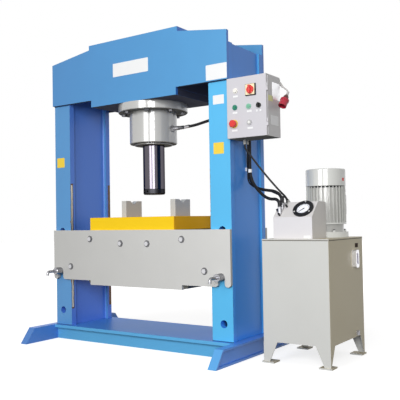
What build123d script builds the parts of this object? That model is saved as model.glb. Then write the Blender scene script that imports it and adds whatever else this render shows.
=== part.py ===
from build123d import *
import math
import os

os.makedirs("parts", exist_ok=True)

# Hydraulic press, millimetres, Z up, origin on the floor under the ram axis
# X runs along the beam, Y runs from front to rear

# Clearances
moving_gap = 0.3
fit_gap = 0.05
plate_gap = 1.0

# Overall height of the press
press_height = 1930

# Columns
column_outer_x = 700
flange_width = 140
flange_thickness = 40
column_half_depth = 195
web_thickness = 15
outer_web_recess = 12
inner_web_recess = 22
column_top_z = press_height - 145
weld_leg = 6

# Pins and their holes
pin_radius = 22.2
pin_x = 638
pin_pitch = 264
pin_row_z = 458
pin_tail_y = 230
pin_front_y = -268
handle_radius = 9
handle_reach = 64
handle_drop = 16

# Beam
beam_plate = 20
beam_tab_bottom_z = press_height - 360
beam_core_bottom_z = press_height - 405
beam_core_half = 342
beam_crown_half = 357
beam_crown_z = press_height
beam_shoulder_z = press_height - 29
beam_end_z = press_height - 80
beam_base_thickness = 40
rib_thickness = 20

# Base and feet
base_top_z = 95
base_plate_thickness = 20
base_bar_thickness = 20
base_bar_y = 187
foot_width = 54
foot_half_length = 463
foot_top_half = 390
foot_sheet = 12
foot_lip = 10

# Cylinder
body_radius = 153
flange_radius = 224
cylinder_flange = 50
body_bottom_z = press_height - 656
cap_top_z = press_height - 80
cap_thickness = 50
bore_radius = 115
gland_radius = 123.5
gland_bottom_z = press_height - 665
gland_collar = 6
gland_depth = 60
rod_radius = 70
nose_rest_share = 143 / 458
nose_height = 35
piston_bottom_z = press_height - 510
piston_height = 90
spigot_radius = 45
flange_bolt_circle = 191
flange_bolt_count = 8
flange_bolt_turn = 27
lower_port_z = press_height - 567
upper_port_z = press_height - 140
port_radius = 8
fitting_end_x = 205

# Bed
bed_plate = 20
bed_top_z = 727
bed_side_bottom_z = 403
bed_core_bottom_z = 375
bed_core_half = 365
slot_width = 46
lobe_radius = 18
table_x_min = -375
table_x_max = 305
table_half_depth = 205
table_thickness = 80
v_block_x = (-191, 206)
upper_tie = (367, 670)
middle_tie = (107, 643)
lower_tie_left = (-542, 489)
lower_tie_right = (525, 489)
tie_radius = 8
v_block_thickness = 38
v_block_length = 158
v_block_height = 107
v_notch_width = 74
v_notch_depth = 25

# Control box
box_x_min = 708
box_x_max = 955
box_front_y = -235
box_rear_y = -75
box_bottom_z = 1228
box_top_z = 1562
box_sheet = 3
door_sheet = 4
device_radius = 11

# Pump unit
tank_x_min = 867
tank_length = 390
tank_x_max = tank_x_min + tank_length
tank_y_min = -155
tank_y_max = 331
tank_bottom_z = 115
tank_top_z = 665
lid_thickness = 6
tank_sheet = 4
motor_x = tank_x_min + 229
motor_y = 199
motor_radius = 112.5
shaft_radius = 14
hood_x_min = tank_x_min + 51
hood_x_max = tank_x_min + 281
hood_front_y = -110
hood_rear_y = 72
hood_sill_z = 789
hood_top_z = 872
hood_sheet = 3

# Cords
hose_radius = 8.75
conduit_radius = 6
cable_radius = 4
lead_radius = 4.5

# Derived values
column_centre_x = column_outer_x - flange_width / 2
outer_web_face = column_outer_x - outer_web_recess
inner_web_face = column_outer_x - flange_width + inner_web_recess
web_half_depth = column_half_depth - flange_thickness
beam_outer_y = column_half_depth + beam_plate
bed_inner_y = column_half_depth + plate_gap
bed_outer_y = bed_inner_y + bed_plate
pin_hole_radius = pin_radius + moving_gap
lid_top_z = tank_top_z + lid_thickness
beam_base_top_z = beam_core_bottom_z + beam_base_thickness
flange_bottom_z = beam_core_bottom_z - cylinder_flange
table_top_z = bed_top_z + table_thickness
free_height = gland_bottom_z - table_top_z
nose_bottom_z = table_top_z + free_height * nose_rest_share
nose_top_z = nose_bottom_z + nose_height

# Ways through the webs of the right column, as x, y, z, width and height
inner_x = inner_web_face
outer_x = outer_web_face - web_thickness
hose_windows = (
    (inner_x, 2, press_height - 296, 50, 80),
    (inner_x, -27, press_height - 533, 50, 60),
    (outer_x, 2, press_height - 404, 50, 90),
    (outer_x, -33, press_height - 540, 50, 76),
)


def finish(part, name):
    part.part.label = name
    export_step(part.part, "parts/" + name + ".step")


def column(side, windows=()):
    # Welded column of two flanges and two webs, side is 1 on the right and -1 on the left
    centre = side * column_centre_x
    outer = side * outer_web_face
    inner = side * inner_web_face
    with BuildPart() as post:
        with BuildSketch(Plane.XY.offset(base_top_z)):
            with Locations((centre, column_half_depth - flange_thickness / 2)):
                Rectangle(flange_width, flange_thickness)
            with Locations((centre, -column_half_depth + flange_thickness / 2)):
                Rectangle(flange_width, flange_thickness)
            with Locations((outer - side * web_thickness / 2, 0), (inner + side * web_thickness / 2, 0)):
                Rectangle(web_thickness, 2 * web_half_depth)
            for end in (-1, 1):
                corner = end * web_half_depth
                with BuildLine():
                    Polyline(
                        (outer, corner),
                        (outer + side * weld_leg, corner),
                        (outer, corner - end * weld_leg),
                        close=True,
                    )
                make_face()
                with BuildLine():
                    Polyline(
                        (inner, corner),
                        (inner - side * weld_leg, corner),
                        (inner, corner - end * weld_leg),
                        close=True,
                    )
                make_face()
        extrude(amount=column_top_z - base_top_z)
        rows = (pin_row_z - pin_pitch, pin_row_z, pin_row_z + pin_pitch)
        with Locations(*[(side * pin_x, 0, z) for z in rows]):
            Cylinder(pin_hole_radius, 2 * column_half_depth + 10, rotation=(90, 0, 0), mode=Mode.SUBTRACT)
        for x, y, z, width, height in windows:
            with BuildSketch(Plane.YZ.offset(x - 2)):
                with Locations((y, z)):
                    RectangleRounded(width, height, 20)
            extrude(amount=web_thickness + 4, mode=Mode.SUBTRACT)
    return post


# Left column
column_left = column(-1)
finish(column_left, "column_left")

# Right column with its hose windows
column_right = column(1, hose_windows)
finish(column_right, "column_right")


def beam_side(y_outer, name):
    # One side plate of the beam, from y_outer towards +Y
    with BuildPart() as plate:
        with BuildSketch(Plane.XZ.offset(-y_outer)):
            with BuildLine():
                Polyline(
                    (0, beam_crown_z),
                    (beam_crown_half, beam_crown_z),
                    (beam_crown_half, beam_shoulder_z),
                    (column_outer_x, beam_end_z),
                    (column_outer_x, beam_tab_bottom_z),
                    (beam_core_half, beam_tab_bottom_z),
                    (beam_core_half, beam_core_bottom_z),
                    (0, beam_core_bottom_z),
                    close=True,
                )
            make_face()
            mirror(about=Plane.YZ)
        extrude(amount=-beam_plate)
    finish(plate, name)
    return plate


beam_front_plate = beam_side(-beam_outer_y, "beam_front_plate")
beam_rear_plate = beam_side(column_half_depth, "beam_rear_plate")

# Base plate of the beam, bored for the cylinder
with BuildPart() as beam_base_plate:
    with Locations((0, 0, beam_core_bottom_z + beam_base_thickness / 2)):
        Box(2 * beam_core_half, 2 * column_half_depth, beam_base_thickness)
    with Locations((0, 0, beam_core_bottom_z + beam_base_thickness / 2)):
        Cylinder(body_radius + 0.5, beam_base_thickness + 2, mode=Mode.SUBTRACT)
    with Locations((0, 0, beam_core_bottom_z - 1)):
        with PolarLocations(flange_bolt_circle, flange_bolt_count, start_angle=flange_bolt_turn):
            Cylinder(
                10 + fit_gap, 33, align=(Align.CENTER, Align.CENTER, Align.MIN), mode=Mode.SUBTRACT
            )
finish(beam_base_plate, "beam_base_plate")

# Top plate of the beam
with BuildPart() as beam_top_plate:
    with Locations((0, 0, (beam_crown_z + beam_shoulder_z) / 2)):
        Box(2 * beam_crown_half, 2 * column_half_depth, beam_crown_z - beam_shoulder_z)
finish(beam_top_plate, "beam_top_plate")

# Ribs of the beam, both bored for the hose
with BuildPart() as beam_ribs:
    rib_height = beam_shoulder_z - beam_base_top_z
    rib_x = beam_core_half - rib_thickness / 2
    with Locations(
        (-rib_x, 0, beam_base_top_z + rib_height / 2), (rib_x, 0, beam_base_top_z + rib_height / 2)
    ):
        Box(rib_thickness, 2 * column_half_depth, rib_height)
    with Locations((0, 0, upper_port_z)):
        Cylinder(20, 2 * beam_core_half + 10, rotation=(0, 90, 0), mode=Mode.SUBTRACT)
finish(beam_ribs, "beam_ribs")

# Base plate
with BuildPart() as base_plate:
    with Locations((0, 0, base_top_z - base_plate_thickness / 2)):
        Box(2 * column_outer_x, 2 * beam_outer_y, base_plate_thickness)
finish(base_plate, "base_plate")

# Front and rear bars under the base plate
with BuildPart() as base_bars:
    bar_height = base_top_z - base_plate_thickness
    bar_y = base_bar_y - base_bar_thickness / 2
    with Locations((0, -bar_y, bar_height / 2), (0, bar_y, bar_height / 2)):
        Box(2 * column_outer_x, base_bar_thickness, bar_height)
finish(base_bars, "base_bars")


def foot(side, name):
    # Foot rail: a folded rim with two webs, side is 1 on the right and -1 on the left
    inner = side * column_outer_x
    with BuildPart() as rail:
        with BuildSketch(Plane.YZ.offset(inner)):
            with BuildLine():
                Polyline(
                    (-foot_half_length, 0),
                    (-foot_top_half, base_top_z),
                    (foot_top_half, base_top_z),
                    (foot_half_length, 0),
                    close=True,
                )
            make_face()
        extrude(amount=side * foot_width)
        with BuildSketch(Plane.YZ.offset(inner + side * foot_sheet)):
            with BuildLine():
                Polyline(
                    (-foot_half_length, 0),
                    (-foot_top_half, base_top_z),
                    (foot_top_half, base_top_z),
                    (foot_half_length, 0),
                    close=True,
                )
            make_face()
            offset(amount=-foot_sheet, kind=Kind.INTERSECTION)
        extrude(amount=side * (foot_width - 2 * foot_sheet - foot_lip), mode=Mode.SUBTRACT)
        with BuildSketch(Plane.YZ.offset(inner + side * (foot_width - foot_lip))):
            with BuildLine():
                Polyline(
                    (-foot_half_length, 0),
                    (-foot_top_half, base_top_z),
                    (foot_top_half, base_top_z),
                    (foot_half_length, 0),
                    close=True,
                )
            make_face()
            offset(amount=-foot_sheet, kind=Kind.INTERSECTION)
        extrude(amount=side * (foot_lip + 1), mode=Mode.SUBTRACT)
    finish(rail, name)
    return rail


foot_left = foot(-1, "foot_left")
foot_right = foot(1, "foot_right")

# Cylinder barrel with its mounting flange and closed cap end
with BuildPart() as cylinder_barrel:
    with BuildSketch(Plane.XZ):
        with BuildLine():
            Polyline(
                (bore_radius, body_bottom_z),
                (body_radius - 4, body_bottom_z),
                (body_radius, body_bottom_z + 4),
                (body_radius, flange_bottom_z),
                (flange_radius - 3, flange_bottom_z),
                (flange_radius, flange_bottom_z + 3),
                (flange_radius, beam_core_bottom_z),
                (body_radius, beam_core_bottom_z),
                (body_radius, cap_top_z - 6),
                (body_radius - 6, cap_top_z),
                (0, cap_top_z),
                (0, cap_top_z - cap_thickness),
                (bore_radius, cap_top_z - cap_thickness),
                close=True,
            )
        make_face()
    revolve(axis=Axis.Z)
    with Locations((0, 0, flange_bottom_z - 1)):
        with PolarLocations(flange_bolt_circle, flange_bolt_count, start_angle=flange_bolt_turn):
            Cylinder(
                10 + fit_gap,
                cylinder_flange + 2,
                align=(Align.CENTER, Align.CENTER, Align.MIN),
                mode=Mode.SUBTRACT,
            )
    with Locations((body_radius - 3, 0, lower_port_z), (body_radius - 3, 0, upper_port_z)):
        Cylinder(
            24,
            20,
            rotation=(0, 90, 0),
            align=(Align.CENTER, Align.CENTER, Align.MIN),
            mode=Mode.SUBTRACT,
        )
    with Locations((bore_radius - 5, 0, lower_port_z), (bore_radius - 5, 0, upper_port_z)):
        Cylinder(
            port_radius + fit_gap,
            60,
            rotation=(0, 90, 0),
            align=(Align.CENTER, Align.CENTER, Align.MIN),
            mode=Mode.SUBTRACT,
        )
finish(cylinder_barrel, "cylinder_barrel")

# Gland ring that guides the rod
with BuildPart() as gland_ring:
    with BuildSketch(Plane.XZ):
        with BuildLine():
            Polyline(
                (rod_radius + moving_gap, gland_bottom_z),
                (gland_radius - 3, gland_bottom_z),
                (gland_radius, gland_bottom_z + 3),
                (gland_radius, gland_bottom_z + gland_collar),
                (bore_radius - fit_gap, gland_bottom_z + gland_collar),
                (bore_radius - fit_gap, body_bottom_z + gland_depth),
                (rod_radius + moving_gap, body_bottom_z + gland_depth),
                close=True,
            )
        make_face()
    revolve(axis=Axis.Z)
finish(gland_ring, "gland_ring")

# Piston
with BuildPart() as piston:
    with Locations((0, 0, piston_bottom_z + piston_height / 2)):
        Cylinder(bore_radius - moving_gap, piston_height)
        Cylinder(spigot_radius + fit_gap, piston_height, mode=Mode.SUBTRACT)
    for groove_z in (22, 45, 68):
        with Locations((0, 0, piston_bottom_z + groove_z)):
            Cylinder(bore_radius, 7, mode=Mode.SUBTRACT)
            Cylinder(bore_radius - 6, 7)
            Cylinder(spigot_radius + fit_gap, 7, mode=Mode.SUBTRACT)
    chamfer(piston.edges().filter_by(GeomType.CIRCLE).sort_by(Axis.Z)[-1], 0.5)
finish(piston, "piston")

# Ram rod with a spigot for the piston above and a socket for the nose below
with BuildPart() as ram_rod:
    with BuildSketch(Plane.XZ):
        with BuildLine():
            Polyline(
                (30 + fit_gap, nose_top_z),
                (rod_radius, nose_top_z),
                (rod_radius, piston_bottom_z),
                (spigot_radius, piston_bottom_z),
                (spigot_radius, piston_bottom_z + piston_height),
                (0, piston_bottom_z + piston_height),
                (0, nose_top_z + 26),
                (30 + fit_gap, nose_top_z + 26),
                close=True,
            )
        make_face()
    revolve(axis=Axis.Z)
finish(ram_rod, "ram_rod")

# Ram nose with a set screw hole at the front
with BuildPart() as ram_nose:
    with BuildSketch(Plane.XZ):
        with BuildLine():
            Polyline(
                (0, nose_bottom_z),
                (rod_radius - 6, nose_bottom_z),
                (rod_radius, nose_bottom_z + 6),
                (rod_radius, nose_top_z - 2),
                (rod_radius - 2, nose_top_z),
                (30, nose_top_z),
                (30, nose_top_z + 25),
                (0, nose_top_z + 25),
                close=True,
            )
        make_face()
    revolve(axis=Axis.Z)
    with Locations((0, -rod_radius, nose_bottom_z + 20)):
        Cylinder(6, 36, rotation=(90, 0, 0), mode=Mode.SUBTRACT)
finish(ram_nose, "ram_nose")

# Flange bolts of the cylinder
with BuildPart() as flange_bolts:
    with BuildSketch(Plane.XY.offset(flange_bottom_z)):
        with PolarLocations(flange_bolt_circle, flange_bolt_count, start_angle=flange_bolt_turn):
            RegularPolygon(17.3, 6)
    extrude(amount=-13)
    with BuildSketch(Plane.XY.offset(flange_bottom_z)):
        with PolarLocations(flange_bolt_circle, flange_bolt_count, start_angle=flange_bolt_turn):
            Circle(10)
    extrude(amount=cylinder_flange + 28)
finish(flange_bolts, "flange_bolts")

# Port fittings of the cylinder
with BuildPart() as port_fittings:
    for port_z in (lower_port_z, upper_port_z):
        with BuildSketch(Plane.YZ.offset(body_radius - 3)):
            with Locations((0, port_z)):
                RegularPolygon(20, 6)
        extrude(amount=22)
        with BuildSketch(Plane.YZ.offset(body_radius + 19)):
            with Locations((0, port_z)):
                Circle(13)
        extrude(amount=fitting_end_x - body_radius - 19)
        with BuildSketch(Plane.YZ.offset(body_radius - 3)):
            with Locations((0, port_z)):
                Circle(port_radius)
        extrude(amount=-22)
finish(port_fittings, "port_fittings")


# Places of the tie bolts through the bed, as x and z
tie_spots = (
    (-upper_tie[0], upper_tie[1]),
    upper_tie,
    (-middle_tie[0], middle_tie[1]),
    middle_tie,
    lower_tie_left,
    lower_tie_right,
)


def bed_side(y_outer, name):
    # One side plate of the bed with an open slot over each pin
    slot_centre_z = pin_row_z + pin_radius + moving_gap - slot_width / 2
    with BuildPart() as plate:
        with BuildSketch(Plane.XZ.offset(-y_outer)) as outline:
            with BuildLine():
                Polyline(
                    (0, bed_top_z),
                    (column_outer_x, bed_top_z),
                    (column_outer_x, bed_side_bottom_z),
                    (bed_core_half, bed_side_bottom_z),
                    (bed_core_half, bed_core_bottom_z),
                    (0, bed_core_bottom_z),
                    close=True,
                )
            make_face()
            mirror(about=Plane.YZ)
            with Locations((-pin_x, slot_centre_z), (pin_x, slot_centre_z)):
                Circle(slot_width / 2, mode=Mode.SUBTRACT)
                with Locations((0, -60)):
                    Rectangle(slot_width, 120, mode=Mode.SUBTRACT)
            lobes = outline.vertices().filter_by(
                lambda v: abs(v.Y - bed_side_bottom_z) < 1 and abs(v.X) > bed_core_half + 50
            )
            fillet(lobes, lobe_radius)
            with Locations(*tie_spots):
                Circle(tie_radius + fit_gap, mode=Mode.SUBTRACT)
        extrude(amount=-bed_plate)
    finish(plate, name)
    return plate


bed_front_plate = bed_side(-bed_outer_y, "bed_front_plate")
bed_rear_plate = bed_side(bed_inner_y, "bed_rear_plate")

# Spacer tubes between the bed plates, the lower pair solid and welded
with BuildPart() as bed_spacers:
    for (x, z), radius in zip(tie_spots, (30, 30, 15, 15, 17, 17)):
        with Locations((x, 0, z)):
            Cylinder(radius, 2 * bed_inner_y, rotation=(90, 0, 0))
            Cylinder(tie_radius + fit_gap, 2 * bed_inner_y, rotation=(90, 0, 0), mode=Mode.SUBTRACT)
    for side in (-1, 1):
        with Locations((side * bed_core_half, 0, bed_side_bottom_z + 12)):
            Cylinder(38, 2 * bed_inner_y, rotation=(90, 0, 0))
finish(bed_spacers, "bed_spacers")

# Tie bolts through the bed, with a hex head in front and a nut behind
with BuildPart() as bed_bolts:
    with Locations(*[(x, 0, z) for x, z in tie_spots]):
        Cylinder(tie_radius, 2 * bed_outer_y + 30, rotation=(90, 0, 0))
    with BuildSketch(Plane.XZ.offset(bed_outer_y)):
        with Locations(*tie_spots):
            RegularPolygon(14.5, 6)
    extrude(amount=10)
    with BuildSketch(Plane.XZ.offset(-bed_outer_y)):
        with Locations(*tie_spots):
            RegularPolygon(14.5, 6)
    extrude(amount=-13)
    with Locations((0, -bed_outer_y - 10, (bed_top_z + bed_core_bottom_z) / 2)):
        Box(1200, 9, 400, align=(Align.CENTER, Align.MAX, Align.CENTER), mode=Mode.SUBTRACT)
finish(bed_bolts, "bed_bolts")

# Table plate
with BuildPart() as table_plate:
    with Locations(((table_x_min + table_x_max) / 2, 0, bed_top_z + table_thickness / 2)):
        Box(table_x_max - table_x_min, 2 * table_half_depth, table_thickness)
    chamfer(table_plate.edges().filter_by(Axis.Z), 3)
    chamfer(table_plate.faces().sort_by(Axis.Z)[-1].edges(), 2)
finish(table_plate, "table_plate")


def v_block(x, name):
    # Support block with a V notch along X
    with BuildPart() as block:
        with Locations((x, 0, table_top_z + v_block_height / 2)):
            Box(v_block_thickness, v_block_length, v_block_height)
        with BuildSketch(Plane.YZ.offset(x - v_block_thickness / 2 - 1)):
            with BuildLine():
                Polyline(
                    (-v_notch_width / 2, table_top_z + v_block_height),
                    (0, table_top_z + v_block_height - v_notch_depth),
                    (v_notch_width / 2, table_top_z + v_block_height),
                    (v_notch_width / 2, table_top_z + v_block_height + 5),
                    (-v_notch_width / 2, table_top_z + v_block_height + 5),
                    close=True,
                )
            make_face()
        extrude(amount=v_block_thickness + 2, mode=Mode.SUBTRACT)
        chamfer(block.faces().sort_by(Axis.Z)[0].edges(), 1.5)
    finish(block, name)
    return block


v_block_left = v_block(v_block_x[0], "v_block_left")
v_block_right = v_block(v_block_x[1], "v_block_right")


def pin(side, name):
    # Cross pin with a bent handle rod at its front end
    x = side * pin_x
    handle_tip_y = pin_front_y - handle_reach
    with BuildPart() as bar:
        with BuildSketch(Plane.XZ.offset(-pin_tail_y)):
            with Locations((x, pin_row_z)):
                Circle(pin_radius)
        extrude(amount=pin_tail_y - pin_front_y)
        chamfer(bar.edges().filter_by(GeomType.CIRCLE), 2)
        with BuildLine(Plane.YZ.offset(x)) as bend:
            FilletPolyline(
                (pin_front_y + 5, pin_row_z),
                (handle_tip_y, pin_row_z),
                (handle_tip_y, pin_row_z - handle_drop - handle_radius),
                radius=14,
            )
        with BuildSketch(Plane(origin=(x, pin_front_y + 5, pin_row_z), z_dir=(0, -1, 0))):
            Circle(handle_radius)
        sweep(path=bend.wire())
    finish(bar, name)
    return bar


pin_left = pin(-1, "pin_left")
pin_right = pin(1, "pin_right")

# Places of the devices on the door, as x and z
door_span = box_x_max - box_x_min
lamp_place = (box_x_min + 0.227 * door_span, box_top_z - 74)
switch_place = (box_x_min + 0.623 * door_span, box_top_z - 78)
start_place = (box_x_min + 0.211 * door_span, box_top_z - 165)
down_place = (box_x_min + 0.563 * door_span, box_top_z - 167)
selector_place = (box_x_min + 0.822 * door_span, box_top_z - 168)
stop_place = (box_x_min + 0.182 * door_span, box_top_z - 255)
up_place = (box_x_min + 0.575 * door_span, box_top_z - 255)
door_rear_y = box_front_y + door_sheet
hinge_x = box_x_max + 5
hinge_y = door_rear_y
hinge_rows = (1300, 1490)
conduit_gland = (757, -131)
cable_gland = (762, -107)
gland_drop = 25
lead_elbow = (936, 1549)

# Control box shell with its pads on the column flange and its hinge knuckles
with BuildPart() as control_box:
    box_width = box_x_max - box_x_min
    box_depth = box_rear_y - door_rear_y
    box_height = box_top_z - box_bottom_z
    box_middle = ((box_x_min + box_x_max) / 2, (box_rear_y + door_rear_y) / 2, (box_top_z + box_bottom_z) / 2)
    with Locations(box_middle):
        Box(box_width, box_depth, box_height)
    with Locations((box_middle[0], box_middle[1] - box_sheet, box_middle[2])):
        Box(box_width - 2 * box_sheet, box_depth, box_height - 2 * box_sheet, mode=Mode.SUBTRACT)
    for pad_z in (box_bottom_z + 45, box_top_z - 45):
        with Locations((column_outer_x, -column_half_depth + flange_thickness / 2, pad_z)):
            Box(box_x_min - column_outer_x, 30, 30, align=(Align.MIN, Align.CENTER, Align.CENTER))
    with Locations((conduit_gland[0], conduit_gland[1], box_bottom_z)):
        Cylinder(7, 12, mode=Mode.SUBTRACT)
    with Locations((cable_gland[0], cable_gland[1], box_bottom_z)):
        Cylinder(5, 12, mode=Mode.SUBTRACT)
    with Locations((lead_elbow[0], box_rear_y, lead_elbow[1])):
        Cylinder(6, 12, rotation=(90, 0, 0), mode=Mode.SUBTRACT)
    for hinge_z in hinge_rows:
        with Locations((hinge_x, hinge_y, hinge_z + 10.5)):
            Cylinder(4, 20)
        with Locations((box_x_max, hinge_y + 1, hinge_z + 10.5)):
            Box(hinge_x - box_x_max, 3, 20, align=(Align.MIN, Align.MIN, Align.CENTER))
finish(control_box, "control_box")

# Door with a hole for each device
with BuildPart() as box_door:
    with Locations((box_middle[0], box_front_y + door_sheet / 2, box_middle[2])):
        Box(box_width, door_sheet, box_height)
    chamfer(box_door.faces().sort_by(Axis.Y)[0].edges(), 1)
    for x, z in (lamp_place, switch_place, start_place, down_place, selector_place, stop_place, up_place):
        with Locations((x, box_front_y + door_sheet / 2, z)):
            Cylinder(device_radius, door_sheet + 2, rotation=(90, 0, 0), mode=Mode.SUBTRACT)
    for hinge_z in hinge_rows:
        with Locations((hinge_x, hinge_y, hinge_z - 10.5)):
            Cylinder(4, 20)
        with Locations((box_x_max - 2, box_front_y + 1, hinge_z - 10.5)):
            Box(hinge_x - box_x_max + 2, 3, 20, align=(Align.MIN, Align.MIN, Align.CENTER))
finish(box_door, "box_door")


def sleeve(x, z, outer, front, bore):
    # Device body through the door: a collar outside, a threaded barrel inside and a bore for the actuator
    with Locations((x, box_front_y, z)):
        Cylinder(outer, front, rotation=(90, 0, 0), align=(Align.CENTER, Align.CENTER, Align.MIN))
        Cylinder(device_radius - fit_gap, 34, rotation=(-90, 0, 0), align=(Align.CENTER, Align.CENTER, Align.MIN))
        Cylinder(
            bore,
            28,
            rotation=(-90, 0, 0),
            align=(Align.CENTER, Align.CENTER, Align.MIN),
            mode=Mode.SUBTRACT,
        )
        Cylinder(
            bore,
            front + 1,
            rotation=(90, 0, 0),
            align=(Align.CENTER, Align.CENTER, Align.MIN),
            mode=Mode.SUBTRACT,
        )


cap_radius = 8.2
cap_bore = cap_radius + moving_gap

# Bezels of the buttons, the selector and the emergency stop
with BuildPart() as button_bezels:
    sleeve(start_place[0], start_place[1], 15, 5, cap_bore)
    sleeve(down_place[0], down_place[1], 15, 5, cap_bore)
    sleeve(up_place[0], up_place[1], 15, 5, cap_bore)
    sleeve(selector_place[0], selector_place[1], 15, 3, cap_bore)
    sleeve(stop_place[0], stop_place[1], 17, 3, cap_bore)
finish(button_bezels, "button_bezels")

# Pilot lamp
with BuildPart() as pilot_lamp:
    with Locations((lamp_place[0], box_front_y, lamp_place[1])):
        Cylinder(15, 4, rotation=(90, 0, 0), align=(Align.CENTER, Align.CENTER, Align.MIN))
        Cylinder(11.5, 13, rotation=(90, 0, 0), align=(Align.CENTER, Align.CENTER, Align.MIN))
        Cylinder(device_radius - fit_gap, 34, rotation=(-90, 0, 0), align=(Align.CENTER, Align.CENTER, Align.MIN))
    fillet(pilot_lamp.edges().filter_by(GeomType.CIRCLE).sort_by(Axis.Y)[0], 4)
finish(pilot_lamp, "pilot_lamp")

# Plate and barrel of the main switch
with BuildPart() as main_switch_plate:
    with Locations((switch_place[0], box_front_y, switch_place[1])):
        Box(64, 6, 64, align=(Align.CENTER, Align.MAX, Align.CENTER))
        Cylinder(device_radius - fit_gap, 60, rotation=(-90, 0, 0), align=(Align.CENTER, Align.CENTER, Align.MIN))
        Cylinder(
            6 + moving_gap,
            30,
            rotation=(-90, 0, 0),
            align=(Align.CENTER, Align.CENTER, Align.MIN),
            mode=Mode.SUBTRACT,
        )
        Cylinder(
            6 + moving_gap,
            8,
            rotation=(90, 0, 0),
            align=(Align.CENTER, Align.CENTER, Align.MIN),
            mode=Mode.SUBTRACT,
        )
    with Locations((switch_place[0], box_front_y + 34, switch_place[1])):
        Box(44, 34, 44, align=(Align.CENTER, Align.MIN, Align.CENTER))
finish(main_switch_plate, "main_switch_plate")

# Handle of the main switch
with BuildPart() as main_switch_handle:
    with Locations((switch_place[0], box_front_y - 6 - moving_gap, switch_place[1])):
        Cylinder(21, 8, rotation=(90, 0, 0), align=(Align.CENTER, Align.CENTER, Align.MIN))
        Box(13, 22, 46, align=(Align.CENTER, Align.MAX, Align.CENTER))
        Cylinder(6, 30, rotation=(-90, 0, 0), align=(Align.CENTER, Align.CENTER, Align.MIN))
    fillet(main_switch_handle.faces().sort_by(Axis.Y)[0].edges(), 2.5)
finish(main_switch_handle, "main_switch_handle")


def push_cap(place, name, proud):
    # Push button cap that slides in its sleeve
    with BuildPart() as cap:
        with Locations((place[0], box_front_y - proud, place[1])):
            Cylinder(cap_radius, proud + 20, rotation=(-90, 0, 0), align=(Align.CENTER, Align.CENTER, Align.MIN))
        fillet(cap.edges().filter_by(GeomType.CIRCLE).sort_by(Axis.Y)[0], 1.2)
    finish(cap, name)
    return cap


start_button = push_cap(start_place, "start_button", 9)
down_button = push_cap(down_place, "down_button", 9)
up_button = push_cap(up_place, "up_button", 9)

# Selector knob
with BuildPart() as selector_knob:
    with Locations((selector_place[0], box_front_y - 3 - moving_gap, selector_place[1])):
        Cylinder(13.5, 8, rotation=(90, 0, 0), align=(Align.CENTER, Align.CENTER, Align.MIN))
        Box(7, 17, 27, align=(Align.CENTER, Align.MAX, Align.CENTER))
        Cylinder(cap_radius, 22, rotation=(-90, 0, 0), align=(Align.CENTER, Align.CENTER, Align.MIN))
    fillet(selector_knob.faces().sort_by(Axis.Y)[0].edges(), 1.5)
finish(selector_knob, "selector_knob")

# Emergency stop button
with BuildPart() as estop_button:
    with Locations((stop_place[0], box_front_y - 10, stop_place[1])):
        Cylinder(20, 17, rotation=(90, 0, 0), align=(Align.CENTER, Align.CENTER, Align.MIN))
        Cylinder(cap_radius, 30, rotation=(-90, 0, 0), align=(Align.CENTER, Align.CENTER, Align.MIN))
    chamfer(estop_button.edges().filter_by(GeomType.CIRCLE).sort_by(Axis.Y)[0], 4)
finish(estop_button, "estop_button")

# Places of the fittings on the sloping console panel, as x and y
hose_fitting_a = (hood_x_min + 28, -86)
hose_fitting_b = (hood_x_min + 28, -56)
conduit_end = Vector(hood_x_min + 33, 0, 886)
conduit_axis = Vector(0.19, 0.60, -0.777).normalized()
cable_end = (hood_x_min + 50, -42)
fitting_a_top = 846
fitting_b_top = 868
cable_end_top = 865

# Where the mains lead leaves its elbow, and in which direction
lead_start = Vector(953, box_rear_y + 13, 1530)
lead_exit = Vector(0.6, 0, -0.8)

# Cable glands on the box and on the console, and the clip on the column web
with BuildPart() as cable_glands:
    for place, radius, core in ((conduit_gland, 9, 7), (cable_gland, 6.5, 5)):
        with Locations((place[0], place[1], box_bottom_z)):
            Cylinder(radius, gland_drop, align=(Align.CENTER, Align.CENTER, Align.MAX))
            Cylinder(core - fit_gap, 12, align=(Align.CENTER, Align.CENTER, Align.MIN))
    with Locations((lead_elbow[0], box_rear_y, lead_elbow[1])):
        Box(20, 23, 20, align=(Align.CENTER, Align.MIN, Align.CENTER))
        Cylinder(6 - fit_gap, 12, rotation=(90, 0, 0), align=(Align.CENTER, Align.CENTER, Align.MIN))
    with BuildSketch(Plane(origin=(lead_start - lead_exit * 24), z_dir=lead_exit)):
        Circle(8)
    extrude(amount=24)
    with BuildSketch(Plane(origin=conduit_end, z_dir=conduit_axis)):
        Circle(9)
    extrude(amount=40)
    with Locations((cable_end[0], cable_end[1], cable_end_top)):
        Cylinder(6, 40, align=(Align.CENTER, Align.CENTER, Align.MAX))
    with Locations((outer_web_face, 2, 1072)):
        Box(26, 28, 20, align=(Align.MIN, Align.CENTER, Align.CENTER))
    with Locations((701.9, 1.4, 1072)):
        Cylinder(hose_radius + 0.8, 30, rotation=(0, -3, 0), mode=Mode.SUBTRACT)
finish(cable_glands, "cable_glands")

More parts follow.
